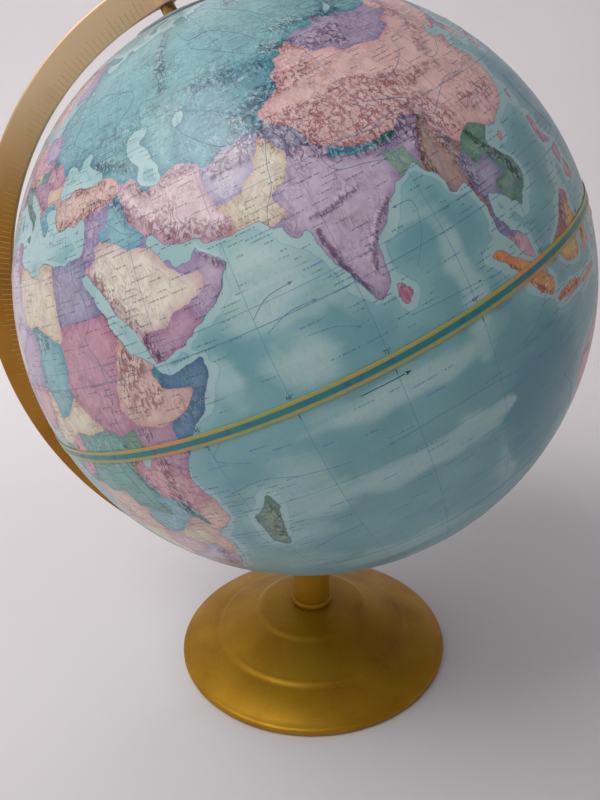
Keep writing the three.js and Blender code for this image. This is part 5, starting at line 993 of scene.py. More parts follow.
class Shade:
    """One material, and short ways to add nodes to it."""

    def __init__(self, name, **settings):
        self.material = bpy.data.materials.new(name)
        self.material.use_nodes = True
        self.tree = self.material.node_tree
        self.surface = self.tree.nodes["Principled BSDF"]
        self.set(**settings)

    def put(self, socket, value):
        if isinstance(value, bpy.types.NodeSocket):
            self.tree.links.new(value, socket)
        else:
            socket.default_value = value

    def add(self, kind, inputs=(), output=0, **settings):
        node = self.tree.nodes.new("ShaderNode" + kind)
        for name, value in settings.items():
            setattr(node, name, value)
        for socket, value in dict(inputs).items():
            self.put(node.inputs[socket], value)
        return node.outputs[output]

    def set(self, **values):
        """Sets the surface's own sockets, such as Base_Color, to values or to what nodes give."""
        for socket, value in values.items():
            self.put(self.surface.inputs[socket.replace("_", " ")], value)
        return self

    def math(self, operation, a, b=0.0, c=0.0):
        return self.add("Math", {0: a, 1: b, 2: c}, operation=operation)

    def times(self, a, b):
        return self.math("MULTIPLY", a, b)

    def vector(self, operation, a, b=(0, 0, 0), output=0):
        return self.add("VectorMath", {0: a, 1: b}, output, operation=operation)

    def scaled(self, vector, scale):
        return self.add("VectorMath", {0: vector, "Scale": scale}, operation="SCALE")

    def parts(self, value, kind="SeparateXYZ"):
        """The three numbers of a vector, or of a colour when the kind is SeparateColor."""
        return self.add(kind, {0: value}).node.outputs[:3]

    def step(self, value, low, high, to=(0, 1)):
        """A smooth step from the first of two values, at low, to the second, at high."""
        inputs = {"Value": value, "From Min": low, "From Max": high, "To Min": to[0], "To Max": to[1]}
        return self.add("MapRange", inputs, interpolation_type="SMOOTHSTEP")

    def line(self, value, middle, half_width, soft=0.5):
        """1 where a value is within a half width of the middle, and 0 beyond."""
        off = self.math("ABSOLUTE", self.math("SUBTRACT", value, middle))
        return self.step(off, half_width * (1 - soft), half_width * (1 + soft), (1, 0))

    def off_nearest(self, value, spacing):
        """How far a value is from the nearest multiple of the spacing."""
        whole = self.math("ROUND", self.math("DIVIDE", value, spacing))
        return self.math("ABSOLUTE", self.math("SUBTRACT", value, self.times(whole, spacing)))

    def mix(self, part, a, b, blend="MIX"):
        return self.add("Mix", {0: part, 6: a, 7: b}, 2, data_type="RGBA", blend_type=blend)

    def place(self, drawn_in=UPRIGHT):
        """The point on the piece in millimetres, as it was drawn before it was put in its place."""
        inputs = {"Vector": self.add("TexCoord", output=3), "Location": drawn_in.to_translation(),
                  "Rotation": drawn_in.to_euler(), "Scale": (MM, MM, MM)}
        return self.add("Mapping", inputs, vector_type="TEXTURE")

    def noise(self, where, scale, detail=2.0, distortion=0.0, output=0):
        inputs = {"Vector": where, "Scale": scale, "Detail": detail, "Distortion": distortion}
        return self.add("TexNoise", inputs, output)

    def bump(self, height, depth, below=None):
        """A bump of a number of millimetres, on top of another if one is given."""
        inputs = {"Strength": 1.0, "Distance": depth * MM, "Height": height}
        if below is not None:
            inputs["Normal"] = below
        return self.add("Bump", inputs)


# ---- The printed ball ----

GRATICULE = 15  # degrees between the printed meridians and parallels
BORDER_SWAY = 0.16  # the share by which a country's print strays over its border
LAND_SHADE = colour_of(156, 132, 148)
LAND_LIGHT = colour_of(236, 230, 230)
STROKE_SHADE = colour_of(180, 158, 178)
BORDER_INK = colour_of(96, 84, 150)
COAST_INK = colour_of(58, 98, 140)
GRATICULE_INK = colour_of(70, 120, 168)
SEA, SEA_LIGHT = colour_of(110, 165, 173), colour_of(124, 178, 184)
DEEP_SEA, SEA_DABS = colour_of(86, 146, 162), colour_of(70, 130, 150)
# The palest sea tone is partly painted glare, where the patches are palest.
PALE_SEA, PALEST_SEA_AND_GLARE = colour_of(166, 202, 202), colour_of(204, 222, 222)
SHELF, SHORE = colour_of(164, 206, 208), colour_of(184, 213, 213)
DEPTH_INK = colour_of(70, 130, 186)
BLUE_PRINT = colour_of(52, 108, 186)
BLACK_PRINT = colour_of(46, 48, 62)


def degrees_on_ball(shade, where):
    """Latitude and longitude of a point on the ball."""
    x, y, z = shade.parts(where)
    sine = shade.math("DIVIDE", z, shade.vector("LENGTH", where, output=1))
    latitude = shade.times(shade.math("ARCSINE", sine), 180 / math.pi)
    longitude = shade.times(shade.math("ARCTAN2", y, x), 180 / math.pi)
    return latitude, longitude


def grid_lines(shade, latitude, longitude):
    """Thin printed meridians and parallels, equally wide at every latitude."""
    off_parallel = shade.off_nearest(latitude, GRATICULE)
    narrow = shade.math("COSINE", shade.times(latitude, math.pi / 180))
    off_meridian = shade.times(shade.off_nearest(longitude, GRATICULE), narrow)
    lines = [shade.step(off, 0.03, 0.085, (1, 0)) for off in (off_parallel, off_meridian)]
    return shade.math("MAXIMUM", *lines)


def print_marks(shade, latitude, longitude, row_height, length, density, seed):
    """Rows of short plain dashes along the parallels, where a map has fine print. They are no letters."""
    row = shade.math("FLOOR", shade.math("DIVIDE", latitude, row_height))
    up = shade.math("FRACT", shade.math("DIVIDE", latitude, row_height))
    middle = shade.times(shade.math("ADD", row, 0.5), row_height * math.pi / 180)
    along = shade.times(longitude, shade.math("COSINE", middle))
    shift = shade.add("TexWhiteNoise", {"W": shade.math("ADD", row, seed)}, 0, noise_dimensions="1D")
    along = shade.math("ADD", shade.math("DIVIDE", along, length), shade.times(shift, 10))
    cell = shade.add("CombineXYZ", {0: shade.math("FLOOR", along), 1: row, 2: seed})
    chance = shade.add("TexWhiteNoise", {"Vector": cell})
    size = shade.add("TexWhiteNoise", {"Vector": shade.vector("ADD", cell, (0.5, 0.5, 0.5))})
    ends = shade.times(shade.math("ADD", size, 0.35), 0.62)
    inside = shade.math("LESS_THAN", shade.math("FRACT", along), ends)
    there = shade.math("LESS_THAN", chance, density)
    band = shade.line(up, 0.5, 0.11)
    dashes_at = shade.add("CombineXYZ", {0: shade.times(along, length * 3.4), 1: 0.0, 2: row})
    dashes = shade.step(shade.noise(dashes_at, 1.0, 1.0), 0.43, 0.52)
    return shade.times(shade.times(shade.times(band, dashes), inside), there)


def country_print(shade, wobble):
    """The colour of the countries, and 1 along their borders, from the ball's print runs."""
    total, strongest, inks = None, None, None
    for run in range(len(runs)):
        share = shade.add("Attribute", output=3, attribute_name=f"print_{run}")
        tint = shade.add("Attribute", attribute_name=f"print_{run}")
        most = BORDER_SWAY if run < 3 else -BORDER_SWAY
        sway = shade.times(shade.math("SUBTRACT", wobble[run % 3], 0.5), most)
        present = shade.step(share, 0.02, 0.12)
        share = shade.math("MAXIMUM", shade.math("ADD", share, shade.times(sway, present)), 0.0)
        weight = shade.math("POWER", share, 12)
        amount = shade.scaled(tint, weight)
        total = weight if total is None else shade.math("ADD", total, weight)
        strongest = weight if strongest is None else shade.math("MAXIMUM", strongest, weight)
        inks = amount if inks is None else shade.vector("ADD", inks, amount)
    total = shade.math("MAXIMUM", total, 1e-9)
    colour = shade.scaled(inks, shade.math("DIVIDE", 1.0, total))
    border = shade.step(shade.math("DIVIDE", strongest, total), 0.56, 0.9, (1, 0))
    return colour, border


def land_print(shade, where, wobble, rise, pale, ridges, dabs):
    """Land, stippled with dabs of the brush. Mountains carry curly dark strokes with light between."""
    country, border = country_print(shade, wobble)
    off_ridge = shade.math("ABSOLUTE", shade.math("SUBTRACT", ridges, 0.5))
    patches = shade.noise(where, 0.06, 3.0, 0.5)
    busy = shade.math("ADD", rise, shade.step(patches, 0.4, 0.62, (0.16, 0.62)))
    curls = shade.step(off_ridge, 0.01, 0.05, (0.9, 0))
    strokes = shade.times(shade.math("MAXIMUM", curls, shade.step(dabs, 0.52, 0.66, (0, 0.85))), busy)
    crest = shade.times(shade.step(pale, 0.15, 0.5), shade.step(dabs, 0.3, 0.5, (0.6, 1.3)))
    strokes = shade.math("MINIMUM", shade.math("MAXIMUM", strokes, crest), 1.2)
    lit = shade.times(shade.step(dabs, 0.49, 0.36), busy)
    shaded = shade.mix(1.0, country, LAND_SHADE, "MULTIPLY")
    deeper = shade.mix(1.0, country, country, "MULTIPLY")
    dark = shade.mix(1.0, deeper, STROKE_SHADE, "MULTIPLY")
    ground = shade.mix(shade.times(rise, 0.2), country, shaded)
    ground = shade.mix(shade.times(lit, 0.32), ground, LAND_LIGHT)
    ground = shade.mix(shade.times(strokes, 0.76), ground, dark)
    mottle = shade.step(shade.noise(where, 0.12, 4.0, 1.0), 0.35, 0.7)
    ground = shade.mix(shade.times(mottle, 0.25), ground, shaded)
    return shade.mix(shade.times(border, 0.35), ground, BORDER_INK)


def sea_print(shade, where, latitude, longitude, soft, pale, off_coast, dabs):
    """Sea: soft changes of tone, pale patches, and paler shelves with a thin line off the coast."""
    sea = shade.mix(shade.step(soft, 0.35, 0.65), SEA, SEA_LIGHT)
    drift = shade.add("CombineXYZ", {0: shade.times(longitude, 0.16), 1: latitude, 2: 0.0})
    drift = shade.noise(drift, 0.35, 4.0, 0.6)
    pale = shade.math("ADD", pale, shade.times(shade.math("SUBTRACT", drift, 0.5), 1.1))
    sea = shade.mix(shade.step(pale, -0.1, -1.0), sea, DEEP_SEA)
    sea = shade.mix(shade.step(pale, 0.05, 1.0), sea, PALE_SEA)
    # Palest patches: partly painted glare of the window.
    sea = shade.mix(shade.step(pale, 0.9, 1.6), sea, PALEST_SEA_AND_GLARE)
    sea = shade.mix(shade.step(dabs, 0.5, 0.75, (0, 0.16)), sea, SEA_DABS)
    wander = shade.times(shade.math("SUBTRACT", shade.noise(where, 0.05, 4.0), 0.5), 0.5)
    shelf = shade.math("ADD", off_coast, wander)
    sea = shade.mix(shade.step(shelf, 0.05, 0.4, (0.4, 0)), sea, SHELF)
    sea = shade.mix(shade.step(shelf, 0.08, 0.14, (0.5, 0)), sea, SHORE)
    return shade.mix(shade.times(shade.line(shelf, 0.125, 0.006), 0.3), sea, DEPTH_INK)


def map_finish():
    """The printed map under its varnish."""
    shade = Shade("map_print", Coat_Weight=0.4, Coat_Roughness=0.22)
    where = shade.place(BALL_PLACE)
    latitude, longitude = degrees_on_ball(shade, where)
    fine = shade.noise(where, 0.9, 3.0)
    wobble = shade.parts(shade.noise(where, 0.55, 3.0, output=1), "SeparateColor")
    grain = shade.noise(where, 3.0, 2.0)
    soft = shade.noise(where, 0.035, 3.0)
    brushed = shade.vector("MULTIPLY", where, (1, 1, 0.5))
    ridges = shade.noise(brushed, 0.3, 3.0, 0.7)
    dabs = shade.noise(brushed, 0.72, 3.0, 0.8)

    colour = shade.add("Attribute", attribute_name="lay")
    on_land, off_coast, height = shade.parts(colour, "SeparateColor")
    pale = shade.add("Attribute", output=3, attribute_name="lay")
    on_land = shade.math("ADD", on_land, shade.times(shade.math("SUBTRACT", fine, 0.5), 0.34))
    is_land = shade.step(on_land, 0.46, 0.54)
    coast = shade.line(on_land, 0.5, 0.07)
    rise = shade.step(height, 0.03, 0.4)

    ground = land_print(shade, where, wobble, rise, pale, ridges, dabs)
    sea = sea_print(shade, where, latitude, longitude, soft, pale, off_coast, dabs)
    printed = shade.mix(is_land, sea, ground)
    printed = shade.mix(shade.times(coast, 0.5), printed, COAST_INK)
    printed = shade.mix(shade.times(grid_lines(shade, latitude, longitude), 0.55), printed, GRATICULE_INK)
    black_marks = print_marks(shade, latitude, longitude, 0.9, 4.2, 0.5, 3.0)
    blue_marks = print_marks(shade, latitude, longitude, 1.15, 5.5, 0.16, 11.0)
    at_sea = shade.math("SUBTRACT", 0.6, shade.times(is_land, 0.6))
    near_land = shade.times(shade.step(off_coast, 0.2, 0.45, (1, 0)), 0.6)
    printed = shade.mix(shade.times(blue_marks, at_sea), printed, BLUE_PRINT)
    printed = shade.mix(shade.times(black_marks, near_land), printed, BLACK_PRINT)
    tone = shade.step(grain, 0.2, 0.8, (0.94, 1.04))
    shade.set(Base_Color=shade.scaled(printed, tone), Roughness=shade.step(soft, 0.3, 0.7, (0.36, 0.46)))
    cloth = shade.bump(shade.noise(where, 1.6, 3.0), 0.05)
    return shade.set(Normal=shade.bump(shade.times(ridges, rise), 0.35, cloth)).material


# ---- The other finishes ----

MARKS_END = DIAL_RADIUS - 0.6
LAND_UNDER_TAPE = (38.5, 101.5)  # the longitudes of eastern Africa and of Sumatra


def gold_paint(name, light, deep, metallic, painted_light_top=None):
    """Bronze-gold enamel: fine flakes, a little orange peel, scratches and darker worn patches.

    The last argument holds two heights and a paler colour: a painted highlight, the paint turning paler
    between those heights towards the top, as light falls from above.
    """
    shade = Shade(name, Metallic=metallic, Specular_IOR_Level=0.2)
    where = shade.place()
    broad = shade.noise(where, 0.03, 3.0)
    flakes = shade.noise(where, 5.0, 2.0)
    tone = shade.mix(shade.step(broad, 0.3, 0.7), light, deep)
    if painted_light_top is not None:
        # Painted highlight: paler towards the top.
        _, _, height = shade.parts(where)
        tone = shade.mix(shade.step(height, *painted_light_top[:2]), tone, painted_light_top[2])
    tone = shade.mix(shade.step(flakes, 0.55, 0.75, (0, 0.3)), tone, colour_of(196, 160, 88))
    tone = shade.mix(shade.step(broad, 0.6, 0.8, (0, 0.4)), tone, colour_of(120, 86, 34))
    scratches = shade.noise(shade.vector("MULTIPLY", where, (0.12, 0.12, 2.4)), 1.0, 4.0, 0.4)
    worn = shade.line(scratches, 0.5, 0.004)
    tone = shade.mix(shade.times(worn, 0.35), tone, colour_of(206, 180, 130))
    shade.set(Base_Color=tone, Roughness=shade.step(broad, 0.3, 0.7, (0.4, 0.5)))
    peel = shade.bump(shade.noise(where, 0.9, 2.0), 0.04)
    return shade.set(Normal=shade.bump(flakes, 0.012, peel)).material


def arm_marks():
    """Paint for the arm's raised degree marks, uneven in patches. Its pale tones are painted light that
    lifts the shade on the thin marks.
    """
    shade = Shade("arm_marks", Metallic=0.35)
    where = shade.place()
    rub = shade.noise(where, 0.12, 3.0)
    # Pale tones: painted light that offsets the shade on the thin raised marks.
    tone = shade.mix(shade.step(rub, 0.35, 0.65), colour_of(192, 154, 108), colour_of(212, 174, 130))
    return shade.set(Base_Color=tone, Roughness=shade.step(rub, 0.3, 0.7, (0.4, 0.6))).material


def metal(name, bright, dull, grain, roughness):
    """Turned metal with fine rings from the lathe and dull patches."""
    shade = Shade(name, Metallic=1.0)
    where = shade.place(TILTED)
    patina = shade.noise(where, 0.35, 4.0)
    lines = shade.noise(shade.vector("MULTIPLY", where, grain), 1.0, 2.0)
    tone = shade.mix(shade.step(patina, 0.4, 0.7), bright, dull)
    tone = shade.mix(shade.step(lines, 0.5, 0.8, (0, 0.3)), tone, dull)
    rough_tone = shade.step(patina, 0.3, 0.7, (roughness, roughness + 0.16))
    shade.set(Base_Color=tone, Roughness=rough_tone)
    return shade.set(Normal=shade.bump(lines, 0.02)).material


def printed_tape():
    """The equator's tape: a blue-green core between yellow edges that fade to green and to orange."""
    shade = Shade("equator_tape", Coat_Weight=0.3, Coat_Roughness=0.25)
    where = shade.place(BALL_PLACE)
    latitude, longitude = degrees_on_ball(shade, where)
    off = shade.math("ABSOLUTE", latitude)
    along = shade.add("CombineXYZ", {0: shade.times(longitude, 0.12), 1: 0.0, 2: 0.0})
    blotches = shade.noise(where, 0.22, 3.0)
    edge = shade.mix(shade.step(shade.noise(along, 1.0, 2.0), 0.42, 0.58), colour_of(160, 164, 84),
                     colour_of(180, 160, 74))
    for middle in LAND_UNDER_TAPE:
        over_land = shade.line(longitude, middle, 4.0, 0.3)
        edge = shade.mix(shade.times(over_land, 0.7), edge, colour_of(222, 140, 84))
    edge = shade.mix(shade.step(off, 0.9, 1.15, (0, 0.25)), edge, colour_of(120, 160, 120))
    core = shade.mix(shade.step(blotches, 0.5, 0.68), colour_of(22, 124, 132), colour_of(28, 104, 138))
    tone = shade.mix(shade.step(off, 0.36, 0.62), core, edge)
    dashes = shade.math("FRACT", shade.math("DIVIDE", longitude, 2.0))
    red_line = shade.times(shade.line(off, 0.66, 0.03), shade.step(dashes, 0.45, 0.55))
    tone = shade.mix(shade.times(red_line, 0.4), tone, colour_of(90, 120, 60))
    shade.set(Base_Color=tone, Roughness=shade.step(blotches, 0.3, 0.7, (0.32, 0.44)))
    return shade.set(Normal=shade.bump(shade.noise(where, 1.8, 3.0), 0.03)).material


def dial_face():
    """The time dial: a dark disc with a lighter ring of hour marks, and a painted highlight along its rim.
    """
    shade = Shade("dial_face", Metallic=0.2)
    where = shade.place(TILTED)
    x, y, _ = shade.parts(where)
    radius = shade.math("SQRT", shade.math("ADD", shade.times(x, x), shade.times(y, y)))
    turn = shade.times(shade.math("ARCTAN2", y, x), 180 / math.pi)
    wear = shade.noise(where, 0.4, 4.0)
    tone = shade.mix(shade.step(wear, 0.35, 0.7), colour_of(126, 136, 130), colour_of(104, 114, 110))
    for spacing, inner, half_width in ((15, 16.9, 0.14), (3.75, 18.4, 0.08)):
        off = shade.times(shade.off_nearest(turn, spacing), shade.times(radius, math.pi / 180))
        mark = shade.step(off, half_width * 0.6, half_width * 1.4, (1, 0))
        length = shade.line(radius, (inner + MARKS_END) / 2, (MARKS_END - inner) / 2, 0.08)
        tone = shade.mix(shade.times(shade.times(mark, length), 0.9), tone, colour_of(222, 220, 206))
    tone = shade.mix(shade.times(shade.line(radius, 12.3, 0.12), 0.8), tone, colour_of(206, 204, 190))
    # Painted highlight: the rim is painted pale so that its edge, which lies in shade, reads lighter.
    rim_highlight = shade.step(radius, MARKS_END, MARKS_END + 0.4, (0, 0.9))
    tone = shade.mix(rim_highlight, tone, colour_of(180, 188, 184))
    shade.set(Base_Color=tone, Roughness=shade.step(wear, 0.3, 0.7, (0.42, 0.58)))
    return shade.set(Normal=shade.bump(wear, 0.03)).material


def ink(name, dark, light):
    """Printing ink, a little uneven."""
    shade = Shade(name)
    where = shade.place()
    cover = shade.noise(where, 1.4, 3.0)
    shade.set(Base_Color=shade.mix(shade.step(cover, 0.4, 0.7), dark, light))
    return shade.set(Roughness=shade.step(cover, 0.3, 0.7, (0.4, 0.55))).material


def nylon():
    """Slightly clear white plastic, yellowed by handling."""
    shade = Shade("nylon", Subsurface_Weight=0.1, Subsurface_Scale=0.001)
    where = shade.place()
    stain = shade.noise(where, 0.3, 4.0)
    tone = shade.mix(shade.step(stain, 0.4, 0.7), colour_of(220, 216, 200), colour_of(196, 188, 164))
    shade.set(Base_Color=tone, Roughness=shade.step(stain, 0.3, 0.7, (0.4, 0.55)))
    return shade.set(Normal=shade.bump(shade.noise(where, 2.0, 2.0), 0.02)).material


def pressed_board():
    """Brown chipboard with small fibres."""
    shade = Shade("pressed_board", Roughness=0.9)
    where = shade.place()
    fibres = shade.noise(shade.vector("MULTIPLY", where, (0.6, 2.2, 2.2)), 1.0, 4.0, 1.0)
    flecks = shade.step(shade.noise(where, 1.2, 5.0), 0.6, 0.68)
    tone = shade.mix(shade.step(fibres, 0.35, 0.7), colour_of(150, 124, 88), colour_of(118, 92, 62))
    tone = shade.mix(shade.times(flecks, 0.5), tone, colour_of(70, 54, 38))
    return shade.set(Base_Color=tone, Normal=shade.bump(fibres, 0.15)).material


def green_felt():
    """Matted wool felt: short tangled fibres and a little lint."""
    shade = Shade("green_felt", Roughness=1.0, Sheen_Weight=0.6, Sheen_Roughness=0.6)
    where = shade.place()
    matting = shade.noise(where, 1.5, 6.0, 2.5)
    tone = shade.mix(shade.step(matting, 0.3, 0.7), colour_of(34, 54, 42), colour_of(60, 86, 68))
    lint = shade.step(shade.noise(where, 2.6, 3.0), 0.68, 0.74)
    tone = shade.mix(shade.times(lint, 0.4), tone, colour_of(150, 156, 146))
    return shade.set(Base_Color=tone, Normal=shade.bump(matting, 0.4)).material


ZINC_BRIGHT, ZINC_DULL = colour_of(188, 190, 188), colour_of(120, 120, 116)
FINISHES = {
    "map_print": map_finish(),
    "gold_paint": gold_paint("gold_paint", colour_of(177, 131, 20), colour_of(158, 111, 9), 0.45),
    "brass": metal("brass", colour_of(196, 160, 92), colour_of(112, 84, 44), (0.5, 0.5, 6.0), 0.28),
    "zinc_plate": metal("zinc_plate", ZINC_BRIGHT, ZINC_DULL, (0.5, 0.5, 5.0), 0.3),
    "tape": printed_tape(),
    "dial": dial_face(),
    "nylon": nylon(),
    "board": pressed_board(),
    "felt": green_felt(),
}
# The arm's paint turns paler between 275 and 360 mm: a painted highlight on its top, as light falls from
# above.
ARM_PAINT = gold_paint("arm_paint", colour_of(176, 122, 40), colour_of(164, 108, 28), 0.35,
                       (275, 360, colour_of(234, 202, 160)))
ARM_MARKS = arm_marks()
BLACK_INK = ink("black_ink", colour_of(34, 36, 44), colour_of(66, 68, 76))
BLUE_INK = ink("blue_ink", colour_of(84, 128, 170), colour_of(112, 154, 182))
WHITE_INK = ink("white_ink", colour_of(226, 224, 212), colour_of(196, 194, 182))


# ---- What turns with the ball ----

POLE_HOLE_RADIUS = 5.2
JOINT_GAP = 0.3
FLANGE_FACE = BALL_RADIUS + 0.15  # where the bushing's flange lies on the ball
FLANGE_TOP = FLANGE_FACE + 0.6
FLANGE_RADIUS = 8.5
BORE_RADIUS = 2.75
TAPE_WIDTH = 5.6
TAPE_THICKNESS = 0.35
TURNING_ARROWS = (69, -51, -171)  # the longitudes where they start
SOUTHWARD = Matrix.Rotation(math.pi, 4, "X")


def on_ball(longitude, latitude, radius):
    """Points on the ball, drawn about its centre."""
    east, north = np.radians(longitude), np.radians(latitude)
    unit = [np.cos(north) * np.cos(east), np.cos(north) * np.sin(east), np.sin(north)]
    return np.stack(unit, axis=-1) * np.reshape(radius, (-1, 1))


def add_hemisphere(half, side):
    """Half of the ball as a closed shell, finely divided outside. Side is 1 for north and -1 for south."""
    hole = 90 - math.degrees(math.asin(POLE_HOLE_RADIUS / BALL_RADIUS))
    joint = math.degrees(JOINT_GAP / 2 / BALL_RADIUS)
    outside = [joint, *np.arange(0.5, hole, 0.5), hole]
    inside = [hole, *np.arange(84, 1, -6), joint]
    rings, places = [], []
    for radius, rows, most in ((BALL_RADIUS, outside, 720), (BALL_RADIUS - SHELL_WALL, inside, 90)):
        for latitude in rows:
            count = max(12, round(most * math.cos(math.radians(latitude))))
            longitude = np.arange(count) * 360 / count - 180
            at = np.full(count, latitude * side)
            proud = relief_height(longitude, at) if rows is outside else 0
            rings.append(on_ball(longitude, at, radius + proud))
            places.append(np.stack([longitude, at], axis=1))
    shape, node = zipped(rings), f"{half}_hemisphere"
    piece = add_piece(f"{half}_map_half", shape, BALL_PLACE, "globe", "map_print", node, crease=60)
    longitude, latitude = np.concatenate(places).T
    for attribute, grid in [("lay", lay)] + [(f"print_{run}", grid) for run, grid in enumerate(runs)]:
        values = sampled(grid, longitude, latitude).astype(np.float32)
        colours = piece.data.color_attributes.new(attribute, "FLOAT_COLOR", "POINT")
        colours.data.foreach_set("color", values.ravel())


def add_tape():
    """The tape over the joint of the two halves."""
    inner, half = BALL_RADIUS + JOINT_GAP / 2, TAPE_WIDTH / 2
    outer = inner + TAPE_THICKNESS
    profile = rounded([(inner, -half), (outer, -half), (outer, half), (inner, half)], 0.12, 3)
    add_piece("equator_band", lathe(profile, 720), BALL_PLACE, "globe", "tape", "equator_tape")


def add_bushings():
    """A flanged nylon sleeve in each pole hole."""
    sleeve, depth = 4.9, BALL_RADIUS - SHELL_WALL - 4
    inside = [(BORE_RADIUS, depth), (sleeve, depth), (sleeve, FLANGE_FACE)]
    flange = [(FLANGE_RADIUS, FLANGE_FACE), (FLANGE_RADIUS, FLANGE_TOP), (BORE_RADIUS, FLANGE_TOP)]
    profile = rounded(inside + flange, 0.25)
    for pole, turn in (("north", UPRIGHT), ("south", SOUTHWARD)):
        shape = moved(lathe(profile, 72), turn)
        add_piece(f"{pole}_pole_bushing", shape, BALL_PLACE, "globe", "nylon", f"{pole}_bushing")


def figures(text, height):
    """Raised figures from the built-in font, lying flat, centred above the origin."""
    size_for_height = 1.35
    font = bpy.data.curves.new("figures", "FONT")
    font.body = text
    font.size = height * size_for_height
    font.align_x = "CENTER"
    font.extrude = 0.04
    font.resolution_u = 3
    holder = bpy.data.objects.new("figures", font)
    mesh = bpy.data.meshes.new_from_object(holder)
    points = np.array([tuple(vertex.co) for vertex in mesh.vertices])
    faces = [tuple(polygon.vertices) for polygon in mesh.polygons]
    bpy.data.objects.remove(holder)
    bpy.data.meshes.remove(mesh)
    bpy.data.curves.remove(font)
    return points, faces


def wrapped(shape, longitude, latitude):
    """A flat shape laid on the ball at a place, its X running east and its Y north."""
    x, y, z = shape[0].T
    north = latitude + np.degrees(y / BALL_RADIUS)
    east = longitude + np.degrees(x / BALL_RADIUS) / math.cos(math.radians(latitude))
    return on_ball(east, north, BALL_RADIUS + relief_height(east, north) + z), shape[1]


def line_on_ball(stops, width):
    """A thin raised line through (longitude, latitude) stops, on a Catmull-Rom curve between them."""
    longest_step = 0.6  # degrees
    places = []
    padded = [stops[0], *stops, stops[-1]]
    for before, start, end, after in zip(padded, padded[1:], padded[2:], padded[3:]):
        before, start, end, after = map(np.asarray, (before, start, end, after))
        steps = max(1, math.ceil(np.hypot(*(end - start)) / longest_step))
        for t in np.arange(steps) / steps:
            bend = (end - before) * t + (2 * before - 5 * start + 4 * end - after) * t**2
            places.append(start + 0.5 * (bend + (3 * start - before - 3 * end + after) * t**3))
    longitude, latitude = np.array([*places, stops[-1]]).T
    surface = BALL_RADIUS + relief_height(longitude, latitude)
    middle = on_ball(longitude, latitude, surface)
    upward = on_ball(longitude, latitude, 1)
    side = np.cross(np.gradient(middle, axis=0), upward)
    side *= width / 2 / np.linalg.norm(side, axis=1, keepdims=True)
    corners = ((-1, -0.1), (1, -0.1), (0.6, 0.07), (-0.6, 0.07))
    rings = [middle + side * aside + upward * lift for aside, lift in corners]
    return tube(np.stack(rings, axis=1))


def arrow_head(tip, bearing, length):
    """A small raised arrow head, its tip at a place, pointing along a bearing in degrees from east."""
    turn = math.radians(bearing)
    outline = np.array([(0, 0), (-length, length * 0.36), (-length * 0.75, 0), (-length, -length * 0.36)])
    way = np.array([[math.cos(turn), math.sin(turn)], [-math.sin(turn), math.cos(turn)]])
    flat = outline @ way
    rings = [np.column_stack([flat, np.full(4, height)]) for height in (-0.05, 0.05)]
    return wrapped(tube(rings), *tip)


def add_map_figures():
    """Plain degree numbers above the equator's tape, a mark below each, and arrows for the way it turns."""
    shapes = []
    for longitude in range(-165, 181, 15):
        shapes.append(wrapped(figures(f"{abs(longitude)}°", 1.7), longitude, 1.35))
        shapes.append(line_on_ball([(longitude, -1.35), (longitude, -2.0)], 0.5))
    for start in TURNING_ARROWS:
        shapes.append(line_on_ball([(start, -2.6), (start + 7, -2.6)], 0.45))
        shapes.append(arrow_head((start + 8, -2.6), 0, 2.6))
    add_piece("map_figures", joined(shapes), BALL_PLACE, "globe", "map_print", material=BLACK_INK)


def add_map_lines():
    """Rivers, and the sea's currents as long curves that end in an arrow."""
    shapes = [line_on_ball(degrees_of(line), 0.28) for line in RIVERS]
    for line in CURRENTS:
        stops = degrees_of(line)
        east, north = stops[-1] - stops[-2]
        tip = stops[-1] + 0.3 * np.array([east, north]) / np.hypot(east, north)
        shapes.append(line_on_ball(stops, 0.3))
        shapes.append(arrow_head(tip, math.degrees(math.atan2(north, east)), 2.0))
    add_piece("map_lines", joined(shapes), BALL_PLACE, "globe", "map_print", material=BLUE_INK)


# ---- Stand ----

BOLT_HOLE = 3.4
POST_SEAT = 14.8  # how far the flat top of the base reaches round the post
SHEET_THICKNESS = 1


def base_size(node):
    """Radius, bottom and top of an upright round CAD node, in millimetres."""
    low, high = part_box(node)
    return high[0] / MM, low[2] / MM, high[2] / MM


def base_skin(radius, top, seat):
    """The base's outer line from the middle of its seat down two steps to the rolled rim."""
    rim, rounding, hem, ledge, drop = 5.4, 2.6, 2.4, 3, 1.3
    inner_step, inner_height, outer_step, outer_height = 35.7, top - 3.9, 60.7, top - 16.5
    line = [(seat, top)]
    for step, height in ((inner_step, inner_height), (outer_step, outer_height)):
        before, edge, after = (step - ledge, height + drop), (step, height), (step + ledge, height - drop)
        line += curve(before, (step - ledge / 2, height + drop * 0.8), edge, 7)
        line += curve(edge, (step + ledge / 2, height - drop * 0.8), after, 7)[1:]
    line += curve(line[-1], ((outer_step + radius) / 2, rim + 5.6), (radius - rounding, rim), 10)[1:]
    line += curve((radius - rounding, rim), (radius, rim - 0.8), (radius, rim - rounding), 8)[1:]
    line += [(radius - hem + x, hem + z) for x, z in arc(hem, 0, -180, 12)]
    return line


def offset(line, distance):
    """The line moved sideways, to the right of its run."""
    points = np.array(line)
    run = np.gradient(points, axis=0)
    run /= np.linalg.norm(run, axis=1, keepdims=True)
    return [tuple(point) for point in points + distance * np.stack([run[:, 1], -run[:, 0]], axis=1)]


def add_base():
    """The stamped shell: the skin and, a sheet's thickness beneath, the same line back."""
    radius, _, top = base_size("base_shell")
    skin = [(BOLT_HOLE, top)] + base_skin(radius, top, POST_SEAT)
    sheet = lathe(skin + offset(skin, SHEET_THICKNESS)[::-1], 192)
    add_piece("stepped_base", sheet, UPRIGHT, "stand", "gold_paint", "base_shell")


